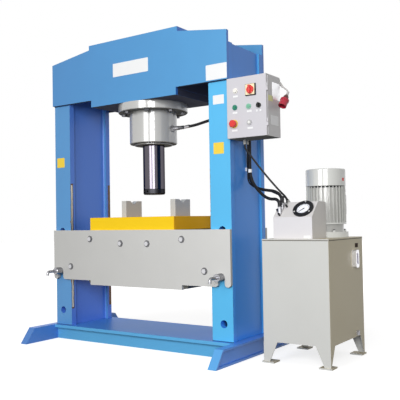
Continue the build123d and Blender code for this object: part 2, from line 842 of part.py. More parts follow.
# Mains plug: grip, collar and shroud with five contact pins
plug_start = Vector(998, box_rear_y, 1460)
plug_direction = Vector(-0.15, -0.50, -0.85).normalized()
with BuildPart() as mains_plug:
    with BuildSketch(Plane(origin=plug_start, z_dir=plug_direction)):
        Circle(9)
    with BuildSketch(Plane(origin=plug_start + plug_direction * 12, z_dir=plug_direction)):
        Circle(15)
    loft()
    with BuildSketch(Plane(origin=plug_start + plug_direction * 12, z_dir=plug_direction)):
        Circle(15)
    extrude(amount=18)
    with BuildSketch(Plane(origin=plug_start + plug_direction * 30, z_dir=plug_direction)):
        Circle(25)
    extrude(amount=11)
    with BuildSketch(Plane(origin=plug_start + plug_direction * 41, z_dir=plug_direction)):
        Circle(23)
    extrude(amount=34)
    with BuildSketch(Plane(origin=plug_start + plug_direction * 45, z_dir=plug_direction)):
        Circle(20)
    extrude(amount=34, mode=Mode.SUBTRACT)
    with BuildSketch(Plane(origin=plug_start + plug_direction * 44, z_dir=plug_direction)):
        with PolarLocations(11, 5):
            Circle(2.5)
    extrude(amount=25)
finish(mains_plug, "mains_plug")

# Tank shell with four folded legs on foot plates
with BuildPart() as tank_shell:
    tank_x = (tank_x_min + tank_x_max) / 2
    tank_y = (tank_y_min + tank_y_max) / 2
    tank_width = tank_x_max - tank_x_min
    tank_depth = tank_y_max - tank_y_min
    with Locations((tank_x, tank_y, tank_bottom_z)):
        Box(tank_width, tank_depth, tank_top_z - tank_bottom_z, align=(Align.CENTER, Align.CENTER, Align.MIN))
    chamfer(tank_shell.edges().filter_by(Axis.Z), 1.5)
    with Locations((tank_x, tank_y, tank_bottom_z + tank_sheet)):
        Box(
            tank_width - 2 * tank_sheet,
            tank_depth - 2 * tank_sheet,
            tank_top_z - tank_bottom_z,
            align=(Align.CENTER, Align.CENTER, Align.MIN),
            mode=Mode.SUBTRACT,
        )
    for sx, corner_x in ((1, tank_x_min), (-1, tank_x_max)):
        for sy, corner_y in ((1, tank_y_min), (-1, tank_y_max)):
            with BuildSketch(Plane.XZ.offset(-corner_y)):
                with BuildLine():
                    Polyline(
                        (corner_x, tank_bottom_z),
                        (corner_x + sx * 84, tank_bottom_z),
                        (corner_x + sx * 36, 8),
                        (corner_x, 8),
                        close=True,
                    )
                make_face()
            extrude(amount=-sy * tank_sheet)
            with BuildSketch(Plane.YZ.offset(corner_x)):
                with BuildLine():
                    Polyline(
                        (corner_y, tank_bottom_z),
                        (corner_y + sy * 59, tank_bottom_z),
                        (corner_y + sy * 8, 8),
                        (corner_y, 8),
                        close=True,
                    )
                make_face()
            extrude(amount=sx * tank_sheet)
            with Locations((corner_x + sx * 28, corner_y + sy * 28, 4)):
                Box(72, 72, 8)
                Cylinder(7, 10, mode=Mode.SUBTRACT)
finish(tank_shell, "tank_shell")

# Tank lid with ways for the shaft, the return line and the manifold
with BuildPart() as tank_lid:
    with Locations((tank_x, tank_y, tank_top_z)):
        Box(tank_width, tank_depth, lid_thickness, align=(Align.CENTER, Align.CENTER, Align.MIN))
    with Locations((motor_x, motor_y, tank_top_z)):
        Cylinder(34, 40, mode=Mode.SUBTRACT)
finish(tank_lid, "tank_lid")

# Motor housing: flange, drive shield, ribbed body and terminal box
motor_flange_top = 703
motor_shield_top = 745
motor_body_top = 959
with BuildPart() as motor_housing:
    with BuildSketch(Plane.XY.offset(lid_top_z)):
        with Locations((motor_x, motor_y)):
            Circle(124)
    extrude(amount=motor_flange_top - lid_top_z)
    with BuildSketch(Plane.XY.offset(motor_flange_top)):
        with Locations((motor_x, motor_y)):
            Circle(98)
    extrude(amount=motor_shield_top - motor_flange_top)
    with BuildSketch(Plane.XY.offset(motor_shield_top)):
        with Locations((motor_x, motor_y)):
            Circle(motor_radius - 13)
        with Locations((motor_x, motor_y)):
            with PolarLocations(motor_radius - 9, 32):
                Rectangle(18, 4)
    extrude(amount=motor_body_top - motor_shield_top)
    with BuildSketch(Plane.XY.offset(motor_shield_top)):
        with Locations((motor_x, motor_y)):
            Circle(motor_radius)
    extrude(amount=9)
    with Locations((motor_x, motor_y + motor_radius - 20, 860)):
        Box(110, 80, 110, align=(Align.CENTER, Align.MIN, Align.CENTER))
    with Locations((motor_x, motor_y, motor_shield_top + 5)):
        Cylinder(
            84,
            motor_body_top - motor_shield_top - 17,
            align=(Align.CENTER, Align.CENTER, Align.MIN),
            mode=Mode.SUBTRACT,
        )
    with Locations((motor_x, motor_y, lid_top_z - 5)):
        Cylinder(
            shaft_radius + moving_gap,
            320,
            align=(Align.CENTER, Align.CENTER, Align.MIN),
            mode=Mode.SUBTRACT,
        )
    with Locations((motor_x, motor_y, lid_top_z - 5)):
        Cylinder(34, 45, align=(Align.CENTER, Align.CENTER, Align.MIN), mode=Mode.SUBTRACT)
    with Locations((motor_x, motor_y, motor_flange_top)):
        with PolarLocations(111, 4, start_angle=45):
            Cylinder(9, 8, align=(Align.CENTER, Align.CENTER, Align.MIN))
finish(motor_housing, "motor_housing")

# Fan cowl with a ring of slots in its top
cowl_bottom_z = motor_body_top + 3
cowl_top_z = cowl_bottom_z + 97
with BuildPart() as motor_cowl:
    with Locations((motor_x, motor_y, cowl_bottom_z)):
        Cylinder(motor_radius + 0.5, cowl_top_z - cowl_bottom_z, align=(Align.CENTER, Align.CENTER, Align.MIN))
    fillet(motor_cowl.edges().filter_by(GeomType.CIRCLE).sort_by(Axis.Z)[-1], 6)
    with Locations((motor_x, motor_y, cowl_bottom_z - 1)):
        Cylinder(
            motor_radius - 2.5,
            cowl_top_z - cowl_bottom_z - 14,
            align=(Align.CENTER, Align.CENTER, Align.MIN),
            mode=Mode.SUBTRACT,
        )
    with Locations((motor_x, motor_y, cowl_top_z - 20)):
        for ring_radius, ring_count in ((24, 6), (46, 10), (68, 16)):
            with PolarLocations(ring_radius, ring_count):
                Box(14, 6, 30, align=(Align.CENTER, Align.CENTER, Align.MIN), mode=Mode.SUBTRACT)
    with Locations((motor_x, motor_y, motor_body_top)):
        with PolarLocations(96, 3, start_angle=30):
            Cylinder(5, cowl_bottom_z - motor_body_top, align=(Align.CENTER, Align.CENTER, Align.MIN))
    with Locations((motor_x, motor_y, cowl_bottom_z)):
        with PolarLocations(102, 3, start_angle=30):
            Box(20, 10, 3, align=(Align.CENTER, Align.CENTER, Align.MIN))
finish(motor_cowl, "motor_cowl")

# Rotor with its shaft, fan and coupling sleeve
with BuildPart() as motor_rotor:
    with Locations((motor_x, motor_y, 580)):
        Cylinder(shaft_radius, 440, align=(Align.CENTER, Align.CENTER, Align.MIN))
        Cylinder(26, 70, align=(Align.CENTER, Align.CENTER, Align.MIN))
    with Locations((motor_x, motor_y, motor_shield_top + 30)):
        Cylinder(62, 150, align=(Align.CENTER, Align.CENTER, Align.MIN))
    with Locations((motor_x, motor_y, 985)):
        Cylinder(92, 4, align=(Align.CENTER, Align.CENTER, Align.MIN))
        with PolarLocations(60, 8):
            Box(58, 3, 26, align=(Align.CENTER, Align.CENTER, Align.MIN))
    with Locations((motor_x, motor_y, 579)):
        Cylinder(10 + moving_gap, 24, align=(Align.CENTER, Align.CENTER, Align.MIN), mode=Mode.SUBTRACT)
finish(motor_rotor, "motor_rotor")

# Bellhousing under the lid
with BuildPart() as bellhousing:
    with Locations((motor_x, motor_y, tank_top_z)):
        Cylinder(85, 12, align=(Align.CENTER, Align.CENTER, Align.MAX))
        Cylinder(58, 105, align=(Align.CENTER, Align.CENTER, Align.MAX))
        Cylinder(40, 97, align=(Align.CENTER, Align.CENTER, Align.MAX), mode=Mode.SUBTRACT)
        Cylinder(13, 110, align=(Align.CENTER, Align.CENTER, Align.MAX), mode=Mode.SUBTRACT)
    with Locations((motor_x, motor_y, 610)):
        Box(140, 44, 50, mode=Mode.SUBTRACT)
finish(bellhousing, "bellhousing")

# Gear pump with its stub shaft
with BuildPart() as gear_pump:
    with Locations((motor_x, motor_y, 560)):
        Box(90, 90, 12, align=(Align.CENTER, Align.CENTER, Align.MAX))
        Box(84, 64, 110, align=(Align.CENTER, Align.CENTER, Align.MAX))
        Cylinder(10, 40, align=(Align.CENTER, Align.CENTER, Align.MIN))
    with Locations((motor_x - 42, motor_y, 500)):
        Cylinder(24, 8, rotation=(0, -90, 0), align=(Align.CENTER, Align.CENTER, Align.MIN))
finish(gear_pump, "gear_pump")

# Suction pipe with its strainer
with BuildPart() as suction_pipe:
    with BuildLine(Plane.XZ.offset(-motor_y)) as suction_path:
        FilletPolyline((motor_x - 50, 500), (motor_x - 110, 500), (motor_x - 110, 240), radius=40)
    with BuildSketch(Plane(origin=(motor_x - 50, motor_y, 500), z_dir=(-1, 0, 0))):
        Circle(14)
    sweep(path=suction_path.wire())
    with Locations((motor_x - 110, motor_y, 240)):
        Cylinder(34, 90, align=(Align.CENTER, Align.CENTER, Align.MAX))
finish(suction_pipe, "suction_pipe")


def hood_outline(bottom_z):
    # Side view of the console: upright front, sloping panel, flat top with a bevelled rear edge
    return [
        (hood_front_y, bottom_z),
        (hood_front_y, hood_sill_z),
        (hood_front_y + hood_top_z - hood_sill_z, hood_top_z),
        (hood_rear_y - 12, hood_top_z),
        (hood_rear_y, hood_top_z - 12),
        (hood_rear_y, bottom_z),
    ]


# Console hood, open below
gauge_centre_x = hood_x_min + 162
slope_mid = (hood_top_z - hood_sill_z) / 2
gauge_plane = Plane(
    origin=(gauge_centre_x, hood_front_y + slope_mid, hood_sill_z + slope_mid),
    x_dir=(1, 0, 0),
    z_dir=(0, -1, 1),
)
with BuildPart() as console_hood:
    with BuildSketch(Plane.YZ.offset(hood_x_min)):
        with BuildLine():
            Polyline(*hood_outline(lid_top_z), close=True)
        make_face()
    extrude(amount=hood_x_max - hood_x_min)
    with BuildSketch(Plane.YZ.offset(hood_x_min + hood_sheet)):
        with BuildLine():
            Polyline(*hood_outline(lid_top_z - 20), close=True)
        make_face()
        offset(amount=-hood_sheet, kind=Kind.INTERSECTION)
    extrude(amount=hood_x_max - hood_x_min - 2 * hood_sheet, mode=Mode.SUBTRACT)
    for place, radius in ((hose_fitting_a, 12), (hose_fitting_b, 12), (cable_end, 6.5)):
        with Locations((place[0], place[1], 830)):
            Cylinder(radius, 100, mode=Mode.SUBTRACT)
    with BuildSketch(Plane(origin=conduit_end, z_dir=conduit_axis)):
        Circle(9.5)
    extrude(amount=60, mode=Mode.SUBTRACT)
    with BuildSketch(gauge_plane.offset(-12)):
        Circle(33)
    extrude(amount=24, mode=Mode.SUBTRACT)
finish(console_hood, "console_hood")

# Valve manifold on the lid with its two hose fittings
with BuildPart() as valve_manifold:
    with Locations((hood_x_min + 37, -66, lid_top_z)):
        Box(60, 76, 79, align=(Align.CENTER, Align.CENTER, Align.MIN))
    for place, top in ((hose_fitting_a, fitting_a_top), (hose_fitting_b, fitting_b_top)):
        with BuildSketch(Plane.XY.offset(lid_top_z + 79)):
            with Locations(place):
                Circle(11.5)
        extrude(amount=top - lid_top_z - 79)
        with BuildSketch(Plane.XY.offset(top - 9)):
            with Locations(place):
                RegularPolygon(13.4, 6)
        extrude(amount=7)
finish(valve_manifold, "valve_manifold")

# Pressure gauge: flange, dial recess and body behind the panel
with BuildPart() as gauge_case:
    with BuildSketch(gauge_plane):
        Circle(58)
    extrude(amount=9)
    with BuildSketch(gauge_plane.offset(2)):
        Circle(37.5)
    extrude(amount=10, mode=Mode.SUBTRACT)
    with BuildSketch(gauge_plane):
        Circle(32.5)
    extrude(amount=-36)
    with BuildSketch(gauge_plane.offset(9)):
        with PolarLocations(50, 3, start_angle=90):
            Circle(3.5)
    extrude(amount=2)
finish(gauge_case, "gauge_case")

# Gauge needle on its spindle, pointing at the zero mark low on the left
needle_plane = Plane(
    origin=gauge_plane.origin + gauge_plane.z_dir * 2.5,
    x_dir=(-math.sqrt(0.5), -0.5, -0.5),
    z_dir=gauge_plane.z_dir,
)
with BuildPart() as gauge_needle:
    with BuildSketch(needle_plane):
        Circle(3.5)
        with BuildLine():
            Polyline((-8, -2.2), (-8, 2.2), (30, 0.6), (30, -0.6), close=True)
        make_face()
    extrude(amount=1.6)
finish(gauge_needle, "gauge_needle")

# Gauge glass
with BuildPart() as gauge_glass:
    with BuildSketch(gauge_plane.offset(5)):
        Circle(37.5)
    extrude(amount=2.5)
finish(gauge_glass, "gauge_glass")

# Sight gauge on the side of the tank
sight_y = 187
sight_z = 552
with BuildPart() as sight_gauge:
    with Locations((tank_x_max, sight_y, sight_z)):
        Box(26, 44, 98, align=(Align.MIN, Align.CENTER, Align.CENTER))
    chamfer(sight_gauge.edges().filter_by(Axis.X), 7)
    with Locations((tank_x_max + 14, sight_y, sight_z)):
        Box(14, 18, 64, align=(Align.MIN, Align.CENTER, Align.CENTER), mode=Mode.SUBTRACT)
    with Locations((tank_x_max + 14, sight_y, sight_z)):
        Box(8, 17, 63, align=(Align.MIN, Align.CENTER, Align.CENTER))
finish(sight_gauge, "sight_gauge")

# Drain plug
with BuildPart() as drain_plug:
    with BuildSketch(Plane.YZ.offset(tank_x_max)):
        with Locations((220, 136)):
            RegularPolygon(15, 6)
    extrude(amount=12)
finish(drain_plug, "drain_plug")


def turn_radii(points):
    # Arc radius at every inner point of a route, from its shorter run and its turn
    radii = []
    vectors = [Vector(*p) for p in points]
    for before, here, after in zip(vectors, vectors[1:], vectors[2:]):
        first = here - before
        second = after - here
        half = math.radians(first.get_angle(second)) / 2
        radii.append(0.45 * min(first.length, second.length) / math.tan(half))
    return radii


def cord(points, radius, name):
    # Round cord swept along straight runs joined by tangent arcs
    radii = turn_radii(points)
    with BuildPart() as line:
        with BuildLine() as route:
            FilletPolyline(*points, radius=radii)
        start = Vector(*points[0])
        heading = Vector(*points[1]) - start
        with BuildSketch(Plane(origin=start, z_dir=heading)):
            Circle(radius)
        sweep(path=route.wire())
    length = route.wire().length
    expected = math.pi * radius**2 * length
    print(name, "length", round(length), "radii", [round(r) for r in radii])
    print(name, "volume ratio", round(line.part.volume / expected, 4))
    finish(line, name)
    return line


# Hose of the lower port, through the column and down to the manifold
hose_lower_port = cord(
    [
        (fitting_end_x, 0, lower_port_z),
        (300, 0, lower_port_z),
        (420, -9, lower_port_z + 19),
        (560, -26, lower_port_z + 38),
        (726, -33, lower_port_z + 31),
        (734, -33, 1230),
        (730, -31, 1110),
        (732, -32, 1028),
        (770, -42, 962),
        (858, -64, 890),
        (hose_fitting_a[0], hose_fitting_a[1], 892),
        (hose_fitting_a[0], hose_fitting_a[1], fitting_a_top),
    ],
    hose_radius,
    "hose_lower_port",
)

# Hose of the upper port, inside the beam, through the column and down to the manifold
hose_upper_port = cord(
    [
        (fitting_end_x, 0, upper_port_z),
        (368, 0, upper_port_z),
        (545, 2, upper_port_z - 100),
        (716, 3, upper_port_z - 298),
        (711, 5, 1300),
        (699, 2, 1128),
        (704, 1, 1032),
        (748, -10, 962),
        (828, -28, 945),
        (900, -45, 937),
        (hose_fitting_b[0], hose_fitting_b[1], 903),
        (hose_fitting_b[0], hose_fitting_b[1], fitting_b_top),
    ],
    hose_radius,
    "hose_upper_port",
)

# Corrugated conduit from the box to the console
conduit_turn = conduit_end - conduit_axis * 24
motor_conduit = cord(
    [
        (conduit_gland[0], conduit_gland[1], box_bottom_z - gland_drop),
        (conduit_gland[0], conduit_gland[1], 1181),
        (781, -124.5, 1150),
        (824, -113, 1087),
        (885, -97, 1007),
        (918, -77, 961),
        (938, -52, 928),
        (conduit_turn.X, conduit_turn.Y, conduit_turn.Z),
        (conduit_end.X, conduit_end.Y, conduit_end.Z),
    ],
    conduit_radius,
    "motor_conduit",
)

# Valve cable from the box, past the clip and behind the hose to the console
valve_cable = cord(
    [
        (cable_gland[0], cable_gland[1], box_bottom_z - gland_drop),
        (cable_gland[0], cable_gland[1], 1160),
        (727, -58, 1112),
        (712, -22, 1068),
        (706, -17, 1005),
        (722, 12, 970),
        (792, -4, 950),
        (850, -20, 941),
        (900, -36, 922),
        (938, -41, 906),
        (cable_end[0], cable_end[1], 896),
        (cable_end[0], cable_end[1], cable_end_top),
    ],
    cable_radius,
    "valve_cable",
)

# Mains lead from the box to its plug
lead_turn = plug_start - plug_direction * 30
lead_bend = lead_start + lead_exit * 25
mains_lead = cord(
    [
        (lead_start.X, lead_start.Y, lead_start.Z),
        (lead_bend.X, lead_bend.Y, lead_bend.Z),
        (lead_turn.X, lead_turn.Y, lead_turn.Z),
        (plug_start.X, plug_start.Y, plug_start.Z),
    ],
    lead_radius,
    "mains_lead",
)
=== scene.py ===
# %% [markdown]
# # A hydraulic workshop press
# The press stands in a welded blue frame. A cylinder hangs under the beam and pushes its ram down
# towards a grey bed that rests on two cross pins. A control box hangs on the right column, and a
# pump unit on its oil tank stands beside the frame.
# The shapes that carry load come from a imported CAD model, loaded here as a fixed frame in metres.
# This lesson dresses that frame: finishes for every piece, and the small parts CAD leaves plain.

# %% Load the frame
import bpy
import bmesh
import math
from mathutils import Matrix, Vector


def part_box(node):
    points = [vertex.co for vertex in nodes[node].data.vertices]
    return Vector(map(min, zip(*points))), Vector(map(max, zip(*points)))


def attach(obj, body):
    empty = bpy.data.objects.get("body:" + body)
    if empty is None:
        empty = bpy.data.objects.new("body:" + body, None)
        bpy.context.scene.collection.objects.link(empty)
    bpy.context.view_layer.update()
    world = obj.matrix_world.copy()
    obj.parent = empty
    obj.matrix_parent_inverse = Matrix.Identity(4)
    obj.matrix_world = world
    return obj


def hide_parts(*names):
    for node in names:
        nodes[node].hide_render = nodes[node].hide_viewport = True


def short(values, digits=3):
    return [round(value, digits) for value in values]


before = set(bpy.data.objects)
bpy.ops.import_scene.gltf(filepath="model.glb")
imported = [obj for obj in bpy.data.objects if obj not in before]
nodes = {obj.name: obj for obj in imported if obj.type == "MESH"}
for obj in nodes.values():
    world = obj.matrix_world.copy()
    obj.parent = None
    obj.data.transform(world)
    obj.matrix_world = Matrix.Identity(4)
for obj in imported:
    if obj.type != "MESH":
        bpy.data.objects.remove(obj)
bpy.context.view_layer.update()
mm = 0.001

# %% [markdown]
# ## Camera
# The camera comes first, because cords are judged by what it sees. Its place was worked out from
# the way the beam, the bed and the columns converge: about 34 degrees to the right of the front and
# a little above waist height. A touch of roll keeps the verticals as they lean in the photograph.

# %% Camera
camera_place = (2.5908, -3.2733, 0.7802)
pan, tilt, roll = (math.radians(degrees) for degrees in (34.33, 91.63, -0.97))
scene = bpy.context.scene
camera_data = bpy.data.cameras.new("camera")
camera_data.sensor_width = 36
camera_data.lens = 58.1
camera_data.shift_y = 0.0046
camera_data.clip_start = 0.1
camera_data.clip_end = 60
camera = bpy.data.objects.new("camera", camera_data)
scene.collection.objects.link(camera)
turn = Matrix.Rotation(pan, 4, "Z") @ Matrix.Rotation(tilt, 4, "X") @ Matrix.Rotation(roll, 4, "Z")
camera.matrix_world = Matrix.Translation(camera_place) @ turn
scene.camera = camera
scene.view_settings.view_transform = "Standard"
print("camera at", short(camera.location, 2))

# %% [markdown]
# ## Nodes in a few words
# A finish is a small network of shader nodes. Written out in full it takes four lines a node, so a
# few helpers come first: one adds a node and feeds each of its sockets with a value or with a link,
# and the others are the steps that nearly every finish here needs.

# %% Node helpers
def feed(tree, value, socket):
    if isinstance(value, (int, float, tuple)):
        socket.default_value = value
    else:
        tree.links.new(value, socket)


def add_node(tree, kind, **inputs):
    node = tree.nodes.new("ShaderNode" + kind)
    for label, value in inputs.items():
        feed(tree, value, node.inputs[label.replace("_", " ")])
    return node


def add_math(tree, operation, first, second=None, clamp=False):
    step = add_node(tree, "Math")
    step.operation = operation
    step.use_clamp = clamp
    feed(tree, first, step.inputs[0])
    if second is not None:
        feed(tree, second, step.inputs[1])
    return step.outputs[0]


def add_vector_math(tree, operation, first, second=None):
    step = add_node(tree, "VectorMath")
    step.operation = operation
    feed(tree, first, step.inputs[0])
    if second is not None:
        feed(tree, second, step.inputs[1])
    return step.outputs["Value" if operation in ("LENGTH", "DOT_PRODUCT") else "Vector"]


def surface_point(tree):
    return add_node(tree, "TexCoord").outputs["Object"]


def add_noise(tree, scale, detail=2.0, point=None):
    point = surface_point(tree) if point is None else point
    return add_node(tree, "TexNoise", Scale=scale, Detail=detail, Vector=point).outputs["Fac"]


def rise_from(tree, value, start, steepness):
    past = add_math(tree, "SUBTRACT", value, start)
    return add_math(tree, "MULTIPLY", past, steepness, clamp=True)


def mix_colors(tree, mask, first, second):
    mix = add_node(tree, "Mix")
    mix.data_type = "RGBA"
    for index, value in ((0, mask), (6, first), (7, second)):
        feed(tree, value, mix.inputs[index])
    return mix.outputs[2]


print("node helpers ready")

# %% [markdown]
# ## Floor and light
# A product shot of a machine has a floor that runs into a white backdrop. To the camera, and to
# metal and glass that mirror it, the floor glows almost white and still takes the machine's soft
# shadow. To all other light it is a dull grey, as a workshop floor is, so the undersides stay dark.
# Two tall softboxes stand side by side in front. Polished paint and chrome mirror them as a pair of
# white bands, which is how such a machine is usually photographed.

# %% Floor
def new_material(name):
    material = bpy.data.materials.new(name)
    material.use_nodes = True
    material.node_tree.nodes.clear()
    return material, material.node_tree


def backdrop_mix(tree, to_the_scene, to_the_eye):
    rays = add_node(tree, "LightPath").outputs
    seen = add_math(tree, "MAXIMUM", rays["Is Camera Ray"], rays["Is Glossy Ray"])
    seen = add_math(tree, "MAXIMUM", seen, rays["Is Transmission Ray"])
    mix = add_node(tree, "MixShader", Fac=seen)
    tree.links.new(to_the_scene.outputs[0], mix.inputs[1])
    tree.links.new(to_the_eye.outputs[0], mix.inputs[2])
    return mix.outputs[0]


floor_material, tree = new_material("studio_floor")
dull = add_node(tree, "BsdfDiffuse", Color=(0.10, 0.10, 0.10, 1))
pale = add_node(tree, "BsdfDiffuse", Color=(0.6, 0.6, 0.6, 1))
reach = add_vector_math(tree, "LENGTH", surface_point(tree))
fade = add_node(tree, "MapRange", Value=reach, From_Min=1.0, From_Max=3.4, To_Min=0.74, To_Max=1.0)
fade.interpolation_type = "SMOOTHSTEP"
glow = add_node(tree, "Emission", Strength=fade.outputs["Result"])
both = add_node(tree, "AddShader")
tree.links.new(pale.outputs[0], both.inputs[0])
tree.links.new(glow.outputs[0], both.inputs[1])
tree.links.new(backdrop_mix(tree, dull, both), add_node(tree, "OutputMaterial").inputs[0])

bpy.ops.mesh.primitive_plane_add(size=36, location=(0.3, 0.0, -0.0005))
floor = bpy.context.object
floor.name = "studio_floor"
floor.data.materials.append(floor_material)
print("floor:", floor.name, short(floor.dimensions, 1))

# %% World and softboxes
world = bpy.data.worlds.new("studio")
scene.world = world
world.use_nodes = True
tree = world.node_tree
tree.nodes.clear()
world_light = add_node(tree, "Background", Color=(1.0, 0.98, 0.96, 1), Strength=0.34)
world_white = add_node(tree, "Background", Color=(1, 1, 1, 1), Strength=1.0)
tree.links.new(backdrop_mix(tree, world_light, world_white), add_node(tree, "OutputWorld").inputs[0])


def softbox(name, place, aim, size, power):
    lamp = bpy.data.lights.new(name, "AREA")
    lamp.shape = "RECTANGLE"
    lamp.size, lamp.size_y = size
    lamp.energy = power
    box = bpy.data.objects.new(name, lamp)
    scene.collection.objects.link(box)
    box.location = place
    box.rotation_euler = (Vector(aim) - Vector(place)).to_track_quat("-Z", "Y").to_euler()


softbox("left_softbox", (0.30, -5.50, 2.3), (0.1, 0, 1.0), (2.2, 2.6), 134)
softbox("right_softbox", (3.55, -5.50, 2.3), (0.3, 0, 1.0), (2.5, 2.6), 202)

# %% [markdown]
# ## Shared shader groups
# Machine finishes have a few effects in common, so each effect is built once as a node group.
# A group puts out only a colour, a mask or a value; the Principled shader stays in the material.
# *paint_mottle* varies a colour very slightly, as sprayed enamel does. The fade group is painted light:
# it shifts one tint to another along an axis, so that one end or one height of a part comes out lighter.
# The facing group is painted light and shade: faces that look sideways or up take a second copy of the
# paint, darker or lighter as light reaches them, and faces that look down are marked for a painted shade.
# *rib_shade* darkens the valleys between cooling ribs as painted shade.
# *edge_wear* finds edges by comparing a bevelled normal with the flat one. *brushed_grain* is the
# direction of a grinder or lathe tool. *worn_band* marks a box on the surface, ragged or sharp.

# %% Helper that starts a node group
def start_group(name, inputs, outputs):
    group = bpy.data.node_groups.new(name, "ShaderNodeTree")
    for label, kind, value in inputs:
        socket = group.interface.new_socket(name=label, in_out="INPUT", socket_type="NodeSocket" + kind)
        socket.default_value = value
    for label, kind in outputs:
        group.interface.new_socket(name=label, in_out="OUTPUT", socket_type="NodeSocket" + kind)
    given = group.nodes.new("NodeGroupInput").outputs
    made = group.nodes.new("NodeGroupOutput").inputs
    return group, given, made


print("group helper ready")

# %% Paint mottle group
mottle, given, made = start_group(
    "paint_mottle",
    [("Color", "Color", (0.5, 0.5, 0.5, 1)), ("Amount", "Float", 0.08)],
    [("Color", "Color"), ("Roughness Shift", "Float")],
)
centred = add_math(mottle, "SUBTRACT", add_noise(mottle, 5.0, 3.0), 0.5)
swing = add_math(mottle, "MULTIPLY", centred, given["Amount"])
brightness = add_math(mottle, "ADD", swing, 1.0)
tint = add_node(mottle, "HueSaturation", Color=given["Color"], Value=brightness)
mottle.links.new(tint.outputs["Color"], made["Color"])
mottle.links.new(swing, made["Roughness Shift"])
print("group:", mottle.name)

# %% Fade group, painted light along an axis
light_fade, given, made = start_group(
    "painted_light_fade",
    [
        ("Near", "Color", (0.5, 0.5, 0.5, 1)),
        ("Far", "Color", (0.6, 0.6, 0.6, 1)),
        ("Start", "Float", -0.7),
        ("End", "Float", 0.7),
        ("Axis", "Vector", (1, 0, 0)),
    ],
    [("Color", "Color")],
)
along = add_vector_math(light_fade, "DOT_PRODUCT", surface_point(light_fade), given["Axis"])
share = add_node(light_fade, "MapRange", Value=along, From_Min=given["Start"], From_Max=given["End"])
faded = mix_colors(light_fade, share.outputs["Result"], given["Near"], given["Far"])
light_fade.links.new(faded, made["Color"])
print("group:", light_fade.name)

# %% Facing group, painted side shade and shade below
side, given, made = start_group(
    "painted_facing_shade",
    [("Color", "Color", (0.5, 0.5, 0.5, 1)), ("Deep", "Color", (0.3, 0.3, 0.5, 1))],
    [("Color", "Color"), ("ShadeBelow", "Float")],
)
facing = add_node(side, "TexCoord").outputs["Normal"]
lean = add_node(side, "SeparateXYZ", Vector=facing).outputs
sideways = add_math(side, "ABSOLUTE", lean["X"])
upright = add_math(side, "ABSOLUTE", lean["Z"])
share = rise_from(side, add_math(side, "MAXIMUM", sideways, upright), 0.45, 2.5)
side.links.new(mix_colors(side, share, given["Color"], given["Deep"]), made["Color"])
below = rise_from(side, add_math(side, "MULTIPLY", lean["Z"], -1.0), 0.6, 5.0)
side.links.new(below, made["ShadeBelow"])
print("group:", side.name)

# %% Rib shade group
ribs, given, made = start_group(
    "rib_shade",
    [("Axis", "Vector", (0, 0, 0)), ("Root", "Float", 0.1), ("Tip", "Float", 0.112)],
    [("Mask", "Float")],
)
away = add_vector_math(ribs, "SUBTRACT", surface_point(ribs), given["Axis"])
reach = add_vector_math(ribs, "LENGTH", add_vector_math(ribs, "MULTIPLY", away, (1, 1, 0)))
share = add_node(
    ribs, "MapRange", Value=reach, From_Min=given["Root"], From_Max=given["Tip"], To_Min=1.0, To_Max=0.0
)
ribs.links.new(share.outputs["Result"], made["Mask"])
print("group:", ribs.name)

# %% Edge wear group
wear, given, made = start_group(
    "edge_wear", [("Width", "Float", 0.003), ("Breakup", "Float", 60.0)], [("Mask", "Float")]
)
rounded = add_node(wear, "Bevel", Radius=given["Width"])
rounded.samples = 4
flat = add_node(wear, "NewGeometry")
facing = add_vector_math(wear, "DOT_PRODUCT", rounded.outputs["Normal"], flat.outputs["Normal"])
chips = add_noise(wear, given["Breakup"], 4.0)
edge = add_math(wear, "MULTIPLY", add_math(wear, "SUBTRACT", 1.0, facing), 6.0, clamp=True)
chipped = rise_from(wear, add_math(wear, "MULTIPLY", edge, chips), 0.38, 8.0)
wear.links.new(chipped, made["Mask"])
print("group:", wear.name)

# %% Brushed grain group
grain, given, made = start_group(
    "brushed_grain",
    [("Stretch", "Vector", (1.0, 1.0, 1.0)), ("Scale", "Float", 200.0)],
    [("Mask", "Float")],
)
stretched = add_vector_math(grain, "MULTIPLY", surface_point(grain), given["Stretch"])
grain.links.new(add_noise(grain, given["Scale"], 3.0, stretched), made["Mask"])
print("group:", grain.name)

# %% Worn band group
band, given, made = start_group(
    "worn_band",
    [("Low", "Vector", (0, 0, 0)), ("High", "Vector", (1, 1, 1)), ("Ragged", "Float", 0.006)],
    [("Mask", "Float")],
)
shake = add_math(band, "SUBTRACT", add_noise(band, 30.0, 3.0), 0.5)
shake = add_math(band, "MULTIPLY", shake, given["Ragged"])
here, low, high = (
    add_node(band, "SeparateXYZ", Vector=corner).outputs
    for corner in (surface_point(band), given["Low"], given["High"])
)
inside = None
for axis in range(3):
    value = add_math(band, "ADD", here[axis], shake)
    above = add_math(band, "GREATER_THAN", value, low[axis])
    below = add_math(band, "LESS_THAN", value, high[axis])
    within = add_math(band, "MULTIPLY", above, below)
    inside = within if inside is None else add_math(band, "MULTIPLY", inside, within)
band.links.new(inside, made["Mask"])
print("group:", band.name)

# %% [markdown]
# ## Paint
# The frame, the bed, the table, the box and the pump unit are all sprayed enamel, each in its own
# colour. One recipe serves them all: the colour varies a little, worn edges show a darker primer or
# bare steel, and a faint bump breaks up the reflections so that large flat plates don't look like
# plastic. On faces that look down, and between the plates of the beam and of the bed, the colour gives
# way to a dark painted shade, matt and without lacquer. Side faces can take a painted side shade, and a
# part can grow lighter along an axis, painted light. Bare bands on the columns, where the bed has
# rubbed, are added as a mask over the paint.

# %% Start of a material
def group_node(tree, group, **values):
    node = add_node(tree, "Group")
    node.node_tree = group
    for label, value in values.items():
        feed(tree, value, node.inputs[label])
    return node.outputs


def start_finish(name, **sockets):
    material, tree = new_material(name)
    shader = add_node(tree, "BsdfPrincipled", **sockets)
    tree.links.new(shader.outputs[0], add_node(tree, "OutputMaterial").inputs[0])
    return material, tree, shader.inputs


